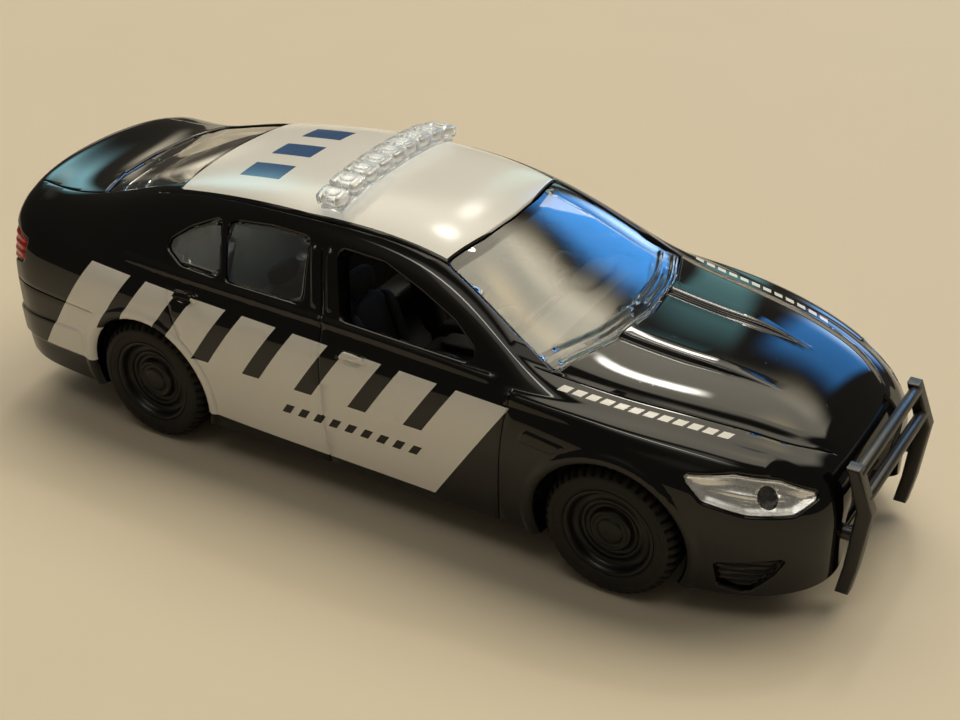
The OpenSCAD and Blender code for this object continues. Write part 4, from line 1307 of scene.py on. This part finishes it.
def plate(profile, thickness, bevel, steps=4):
    """A plate of an outline in X and Z, drawn anticlockwise seen from -Y, with rounded edges, about y = 0."""
    levels = [(-thickness / 2 + bevel * (1 - math.cos(t)), -bevel * (1 - math.sin(t)))
              for t in np.linspace(0, np.pi / 2, steps + 1)]
    levels += [(-y, grow) for y, grow in levels[::-1]]
    return loft([[(x, y, z) for x, z in grown(profile, grow)] for y, grow in levels[::-1]])


def rod(path, radius, around=20, closed=False):
    """A round rod along a path, with domed ends unless it is closed."""
    path = [Vector(p) for p in path]
    radii = [radius] * len(path)
    if not closed:
        start, end = (path[0] - path[1]).normalized(), (path[-1] - path[-2]).normalized()
        dome = [(math.sin(t) * radius * 0.6, math.cos(t) * radius) for t in np.linspace(0, 1.45, 5)[1:]]
        path = [path[0] + start * a for a, b in dome[::-1]] + path + [path[-1] + end * a for a, b in dome]
        radii = [b for a, b in dome[::-1]] + radii + [b for a, b in dome]
    count = len(path)
    rings, side = [], None
    for k in range(count):
        ahead = path[(k + 1) % count] if closed or k < count - 1 else path[k]
        behind = path[k - 1] if closed or k > 0 else path[k]
        run = (ahead - behind).normalized()
        side = run.orthogonal() if side is None else side - run * side.dot(run)
        side = side.normalized()
        other = run.cross(side)
        rings.append([path[k] + radii[k] * (math.cos(t) * side + math.sin(t) * other)
                      for t in full_turn(around)])
    return loft(rings, closed)


def arc(middle, radius, start, end, steps):
    """Points of an arc in X and Z, angles in degrees."""
    return [(middle[0] + radius * math.cos(t), middle[1] + radius * math.sin(t))
            for t in np.radians(np.linspace(start, end, steps))]


SHARP = math.radians(42)


def join(name, solids, finishes):
    """One object of several solids, each with the index of its finish."""
    points, faces, indices = [], [], []
    count = 0
    for (part_points, part_faces), index in solids:
        points.append(part_points)
        faces += [[k + count for k in face] for face in part_faces]
        indices += [index] * len(part_faces)
        count += len(part_points)
    piece = make_object(name, np.concatenate(points), faces, finishes, indices)
    piece.data.set_sharp_from_angle(angle=SHARP)
    return piece


def shifted(part, y):
    points, faces = part
    return points + (0, y, 0), faces


def add_solids(name, solids, finish, slot, nodes=()):
    """A piece of the car from solids of one finish."""
    place_piece(join(name, [(solid, 0) for solid in solids], [finish]), "car", slot, nodes)


# Cabin, after the tub of the part
SEAT_Y = 5.4
BENCH_Y = 5.0
SEAT_WIDTH = 6.4
TUB_HALF_WIDTH = 11.86
DASHBOARD = [(8.9, 11.4), (11.6, 10.5), (13.2, 10.6), (13.35, 13.6), (12.7, 14.4), (10.1, 14.7), (9.1, 14.0),
             (8.75, 13.2)]


def make_interior():
    # Floor, tunnel, its lever plate, middle console, parcel shelf, dashboard and its hood
    solids = [block((27.4, 2 * TUB_HALF_WIDTH, 0.9), (-0.35, 0, 4.25), power=16),
              block((12.4, 3.4, 4.4), (3.4, 0, 6.4), -4, power=7),
              block((4.4, 2.2, 0.7), (1.2, 0, 8.8), -4, power=6),
              block((0.6, 4.6, 2.6), (8.75, 0, 12.9), -14, power=8),
              block((17.6, 23.6, 0.8), (-22.0, 0, 13.6), power=14),
              plate(DASHBOARD, 21.2, 0.35),
              block((2.6, 5.6, 1.2), (10.2, SEAT_Y, 14.7), 8, power=4)]
    for side in (-1, 1):
        y = side * SEAT_Y
        # Seat, its back, head rest and stand, door panel and arm rest, then the bench, its back and rest
        solids += [block((7.0, SEAT_WIDTH - 1.4, 2.2), (-0.8, y, 7.5), -9, power=5),
                   block((1.9, SEAT_WIDTH - 1.6, 7.4), (-4.75, y, 10.7), -17, power=5),
                   block((1.4, 3.6, 2.1), (-6.05, y, 15.6), -10, power=4),
                   block((5.4, SEAT_WIDTH / 2, 3.0), (-1.0, y, 5.9), power=9),
                   block((26.0, 0.9, 8.8), (-0.6, side * (TUB_HALF_WIDTH - 0.5), 8.7), power=12),
                   block((9.0, 1.3, 1.0), (2.6, side * (TUB_HALF_WIDTH - 1.0), 11.6), power=5),
                   block((3.6, 9.6, 2.0), (-10.7, side * BENCH_Y, 7.7), -6, power=5),
                   block((1.9, 9.6, 6.6), (-12.75, side * BENCH_Y, 10.9), -8, power=5),
                   block((1.2, 3.6, 1.5), (-13.3, y, 14.8), -8, power=4)]
        for edge in (-1, 1):
            bolster = y + edge * (SEAT_WIDTH / 2 - 0.65)
            post = y + edge * 0.9
            solids += [block((6.8, 1.4, 2.7), (-0.8, bolster, 7.6), -9, power=3.5),
                       block((2.4, 1.4, 6.8), (-4.55, bolster, 10.5), -17, power=3.5),
                       rod([(-5.75, post, 13.6), (-5.95, post, 14.9)], 0.18, 12)]
    add_solids("interior", solids, CABIN_GREY, "cabin_plastic", ["interior_tub"])


STEERING_PLACE = Vector((7.6, SEAT_Y, 14.1))
STEERING_R = 2.0
STEERING_TILT = -28


def make_steering_wheel():
    turn = Matrix.Rotation(math.radians(STEERING_TILT), 3, "Y")

    def at(forward, across=0.0, up=0.0):
        return STEERING_PLACE + turn @ Vector((forward, across, up))

    def on_ring(t):
        return at(0, STEERING_R * math.cos(t), STEERING_R * math.sin(t))

    solids = [rod([on_ring(t) for t in full_turn(40)], 0.28, 14, closed=True)]
    solids += [rod([at(0.15), on_ring(math.radians(angle))], 0.2, 12) for angle in (0, 180, 270)]
    solids.append(block((0.6, 1.3, 1.1), at(0.05), STEERING_TILT, power=4))
    solids.append(rod([at(0.2), at(1.5)], 0.32, 14))
    add_solids("steering_wheel_dressed", solids, CABIN_GREY, "cabin_plastic", ["steering_wheel"])


# Roof light bar
BAR_STATION = 8.62
BAR_LENGTH = 17.4
BAR_DEPTH = 2.7
BAR_HEIGHT = 1.5
BAR_MODULES = 9
# The strip under the modules: its low and high side above the roof, and how far its ends stay back
STRIP_LOW = 0.14
STRIP_HIGH = 0.5
STRIP_INSET = 0.3


def roof_line():
    """Height of the roof across the light bar, and the bar's place along the car."""
    v = np.linspace(7, MIDDLE, 200)
    points = skin_point(np.full(200, BAR_STATION), v)
    return points[:, 1][::-1], points[:, 2][::-1], points[-1, 0]


def make_light_bar():
    roof_y, roof_z, bar_x = roof_line()

    def roof_at(y):
        return np.interp(abs(y), roof_y, roof_z)

    step = BAR_LENGTH / BAR_MODULES
    places = np.linspace(-BAR_LENGTH / 2 + STRIP_INSET, BAR_LENGTH / 2 - STRIP_INSET, 37)
    strip = [(y, roof_at(y) + STRIP_LOW) for y in places]
    strip += [(y, roof_at(y) + STRIP_HIGH) for y in places[::-1]]
    points, faces = plate(strip, BAR_DEPTH - 0.5, 0.1)
    points = np.column_stack([points[:, 1], points[:, 0], points[:, 2]])
    solids = [((points + (bar_x, 0, 0), [face[::-1] for face in faces]), 0)]
    for k in range(BAR_MODULES):
        y = (k + 0.5) * step - BAR_LENGTH / 2
        slope = math.degrees(math.atan2(roof_at(y + 0.2) - roof_at(y - 0.2), 0.4))
        base = np.array((bar_x, y, roof_at(y)))
        lean = np.array((0, -math.sin(math.radians(slope)), math.cos(math.radians(slope))))
        power = 5 if k in (0, BAR_MODULES - 1) else 9
        size = (BAR_DEPTH, step - 0.06, BAR_HEIGHT - 0.42)
        solids.append((block(size, base + lean * 1.02, roll=slope, power=power), 0))
        for front in (-1, 1):
            place = base + lean + np.array((front * BAR_DEPTH * 0.24, 0, 0))
            size = (0.5, step * 0.62, BAR_HEIGHT * 0.4)
            solids.append((block(size, place, roll=slope, power=2.6, rounds=20, rows=11), 1))
        size = (BAR_DEPTH * 0.5, step * 0.55, 0.24)
        top = base + lean * (BAR_HEIGHT + 0.04)
        solids.append((block(size, top, roll=slope, power=2.6, rounds=24, rows=9), 0))
    place_piece(join("light_bar_dressed", solids, [BAR_CLEAR, LAMP_SILVER]), "car", "light_bar_plastic",
                ["light_bar"])


# Push bar
PUSH_SPACING = 13.6
PUSH_REACH = 2.1
UPRIGHT_T = 1.3
UPRIGHT_SHARES = [(0.5, 0.062), (0.72, 0.165), (1, 0.38), (0.36, 0.525), (-0.1, 0.525), (0.42, 0.38),
                  (0.2, 0.165), (0, 0.062)]
# Cross bars: shares of the reach and of the height, and a radius
CROSS_BARS = [(0.25, 0.497, 0.5), (0.6, 0.415, 0.5)]
PIN_Z = 0.28 * ROOF_HEIGHT
PIN_R = 0.6


def make_push_bar():
    profile = [(NOSE_X + a * PUSH_REACH, b * ROOF_HEIGHT) for a, b in UPRIGHT_SHARES]
    upright = plate(profile, UPRIGHT_T, 0.2)
    half = PUSH_SPACING / 2
    pin_x = NOSE_X + UPRIGHT_SHARES[1][0] * PUSH_REACH
    solids = []
    for y in (-half, half):
        solids.append(shifted(upright, y))
        solids.append(rod([(pin_x - 0.5, y, PIN_Z), (pin_x - 5, y, PIN_Z)], PIN_R))
    for a, b, radius in CROSS_BARS:
        x, z = NOSE_X + a * PUSH_REACH, b * ROOF_HEIGHT
        solids.append(rod([(x, -half, z), (x, half, z)], radius, 24))
    add_solids("push_bar_dressed", solids, PUSH_BAR_BLACK, "push_bar_plastic", ["push_bar"])


# Wheel wells behind the arches
WELL_R = 6.75
WELL_T = 0.3
WELL_Y = (9.75, 13.3)
WELL_HOLE_R = 2.4
WELL_TURNS = (-22, 202)


def make_wheel_wells():
    width = WELL_Y[1] - WELL_Y[0]
    middle = (WELL_Y[0] + WELL_Y[1]) / 2
    solids = []
    for x in (-HALF_WHEELBASE, HALF_WHEELBASE):
        hub = (x, AXLE_Z)
        there, back = WELL_TURNS, WELL_TURNS[::-1]
        band = arc(hub, WELL_R + WELL_T, *there, 60) + arc(hub, WELL_R, *back, 60)
        wall = arc(hub, WELL_R + 0.1, *there, 60) + arc(hub, WELL_HOLE_R, *back, 40)
        for side in (1, -1):
            solids.append(shifted(plate(band, width, 0.05, 1), side * middle))
            solids.append(shifted(plate(wall, WELL_T, 0.05, 1), side * WELL_Y[0]))
    add_solids("wheel_wells", solids, CHASSIS_BLACK, "chassis_plastic")


# Stage, light and the order of work
FLOOR_SIZE = 3000.0


def make_stage():
    corners = [(x * FLOOR_SIZE, y * FLOOR_SIZE, 0) for x, y in ((-1, -1), (1, -1), (1, 1), (-1, 1))]
    floor = make_object("floor", corners, [(0, 1, 2, 3)], [floor_finish()])


class Glow(Finish):
    """The light of a panel under construction."""

    def __init__(self, light):
        light.use_nodes = True
        self.tree = light.node_tree
        self.shader = self.tree.nodes["Emission"]

    def fade(self, soft):
        """Lets the panel dim over a share of its size towards its edges."""
        place = self.node("ShaderNodeNewGeometry", output="Parametric")
        share = 1.0
        for axis in (0, 1):
            across = self.node("ShaderNodeSeparateXYZ", (), {0: place}, axis)
            share = share * across.above(soft / 2, soft / 2) * (1.0 - across.above(1 - soft / 2, soft / 2))
        self.set(Color=self.blend(share, (0, 0, 0), (1, 1, 1)))


PANEL_DISTANCE = 5000


def area_light(name, azimuth, elevation, size, bright, tint, soft=0.2, diffuse=True):
    """A soft panel: where the car sees it and how large in degrees, and the radiance of its middle."""
    data = bpy.data.lights.new(name, "AREA")
    data.shape = "RECTANGLE"
    data.size, data.size_y = [2 * PANEL_DISTANCE * math.tan(math.radians(wide / 2)) * MM for wide in size]
    data.energy = bright * math.pi * data.size * data.size_y
    data.color = tint
    Glow(data).fade(soft)
    light = bpy.data.objects.new(name, data)
    a, e = math.radians(azimuth), math.radians(elevation)
    away = Vector((math.cos(e) * math.cos(a), math.cos(e) * math.sin(a), math.sin(e)))
    light.location = away * PANEL_DISTANCE * MM
    light.rotation_euler = away.to_track_quat("Z", "Y").to_euler()
    light.visible_diffuse = diffuse
    bpy.context.scene.collection.objects.link(light)


def make_world():
    world = bpy.data.worlds.new("studio")
    bpy.context.scene.world = world
    world.use_nodes = True
    background = world.node_tree.nodes["Background"]
    background.inputs["Color"].default_value = (0.84, 0.74, 0.58, 1)
    background.inputs["Strength"].default_value = 0.12


WARM = (1.0, 0.95, 0.86)
# Panels of the studio: a pale wall, blue and teal windows and small bright lamps; some show only in gloss
PANELS = [
    ("wall_panel", 93, 61, (87, 47), 2.7, (1.0, 0.92, 0.73), 0.16),
    ("screen_panel", 68, 56, (25, 18), 2.2, (1.0, 0.72, 0.34), 0.5),
    ("screen_gap", 80, 41, (25, 11), 1.3, (1.0, 0.86, 0.58), 0.4, False),
    ("window_panel", 88, 20.5, (23, 33), 3.6, (0.06, 0.38, 1.0), 0.2, False),
    ("teal_panel", 106, 20.5, (8, 35), 1.6, (0.3, 0.7, 0.72), 0.22, False),
    ("window_foot", 89, 13, (24, 17), 4.4, (0.75, 0.88, 1.0), 0.5, False),
    ("trunk_panel", 143, 29, (18, 19), 5.2, (0.3, 0.62, 0.68), 0.4, False),
    ("tail_panel", 138, 9, (12, 10), 1.6, (1.0, 0.88, 0.66), 0.5, False),
    ("lamp_panel", 107, 53, (10, 5.4), 42, WARM, 0.45),
    ("second_lamp", 105, 41, (7, 3.4), 40, WARM, 0.5, False),
    ("tube_lamp", -90, 76, (56, 5), 16, WARM, 0.5, False),
    ("near_panel", -95, 64, (80, 50), 2.0, (1.0, 0.88, 0.64), 0.9, False),
    ("ceiling_panel", -70, 75, (40, 30), 1.2, (1.0, 0.93, 0.8))]


bpy.context.scene.view_settings.view_transform = "Standard"
make_camera()
make_body()
make_glazing()
make_headlights()
make_tail_lights()
make_grille()
make_fog_recesses()
make_wheels()
make_interior()
make_steering_wheel()
make_light_bar()
make_push_bar()
make_wheel_wells()
make_stage()
make_world()
for panel in PANELS:
    area_light(*panel)

for node, finish in (("chassis_plate", CHASSIS_BLACK), ("front_axle", AXLE_STEEL), ("rear_axle", AXLE_STEEL),
                     ("base_screws", SCREW_STEEL)):
    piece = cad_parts[node]
    piece.data.materials.clear()
    piece.data.materials.append(finish)
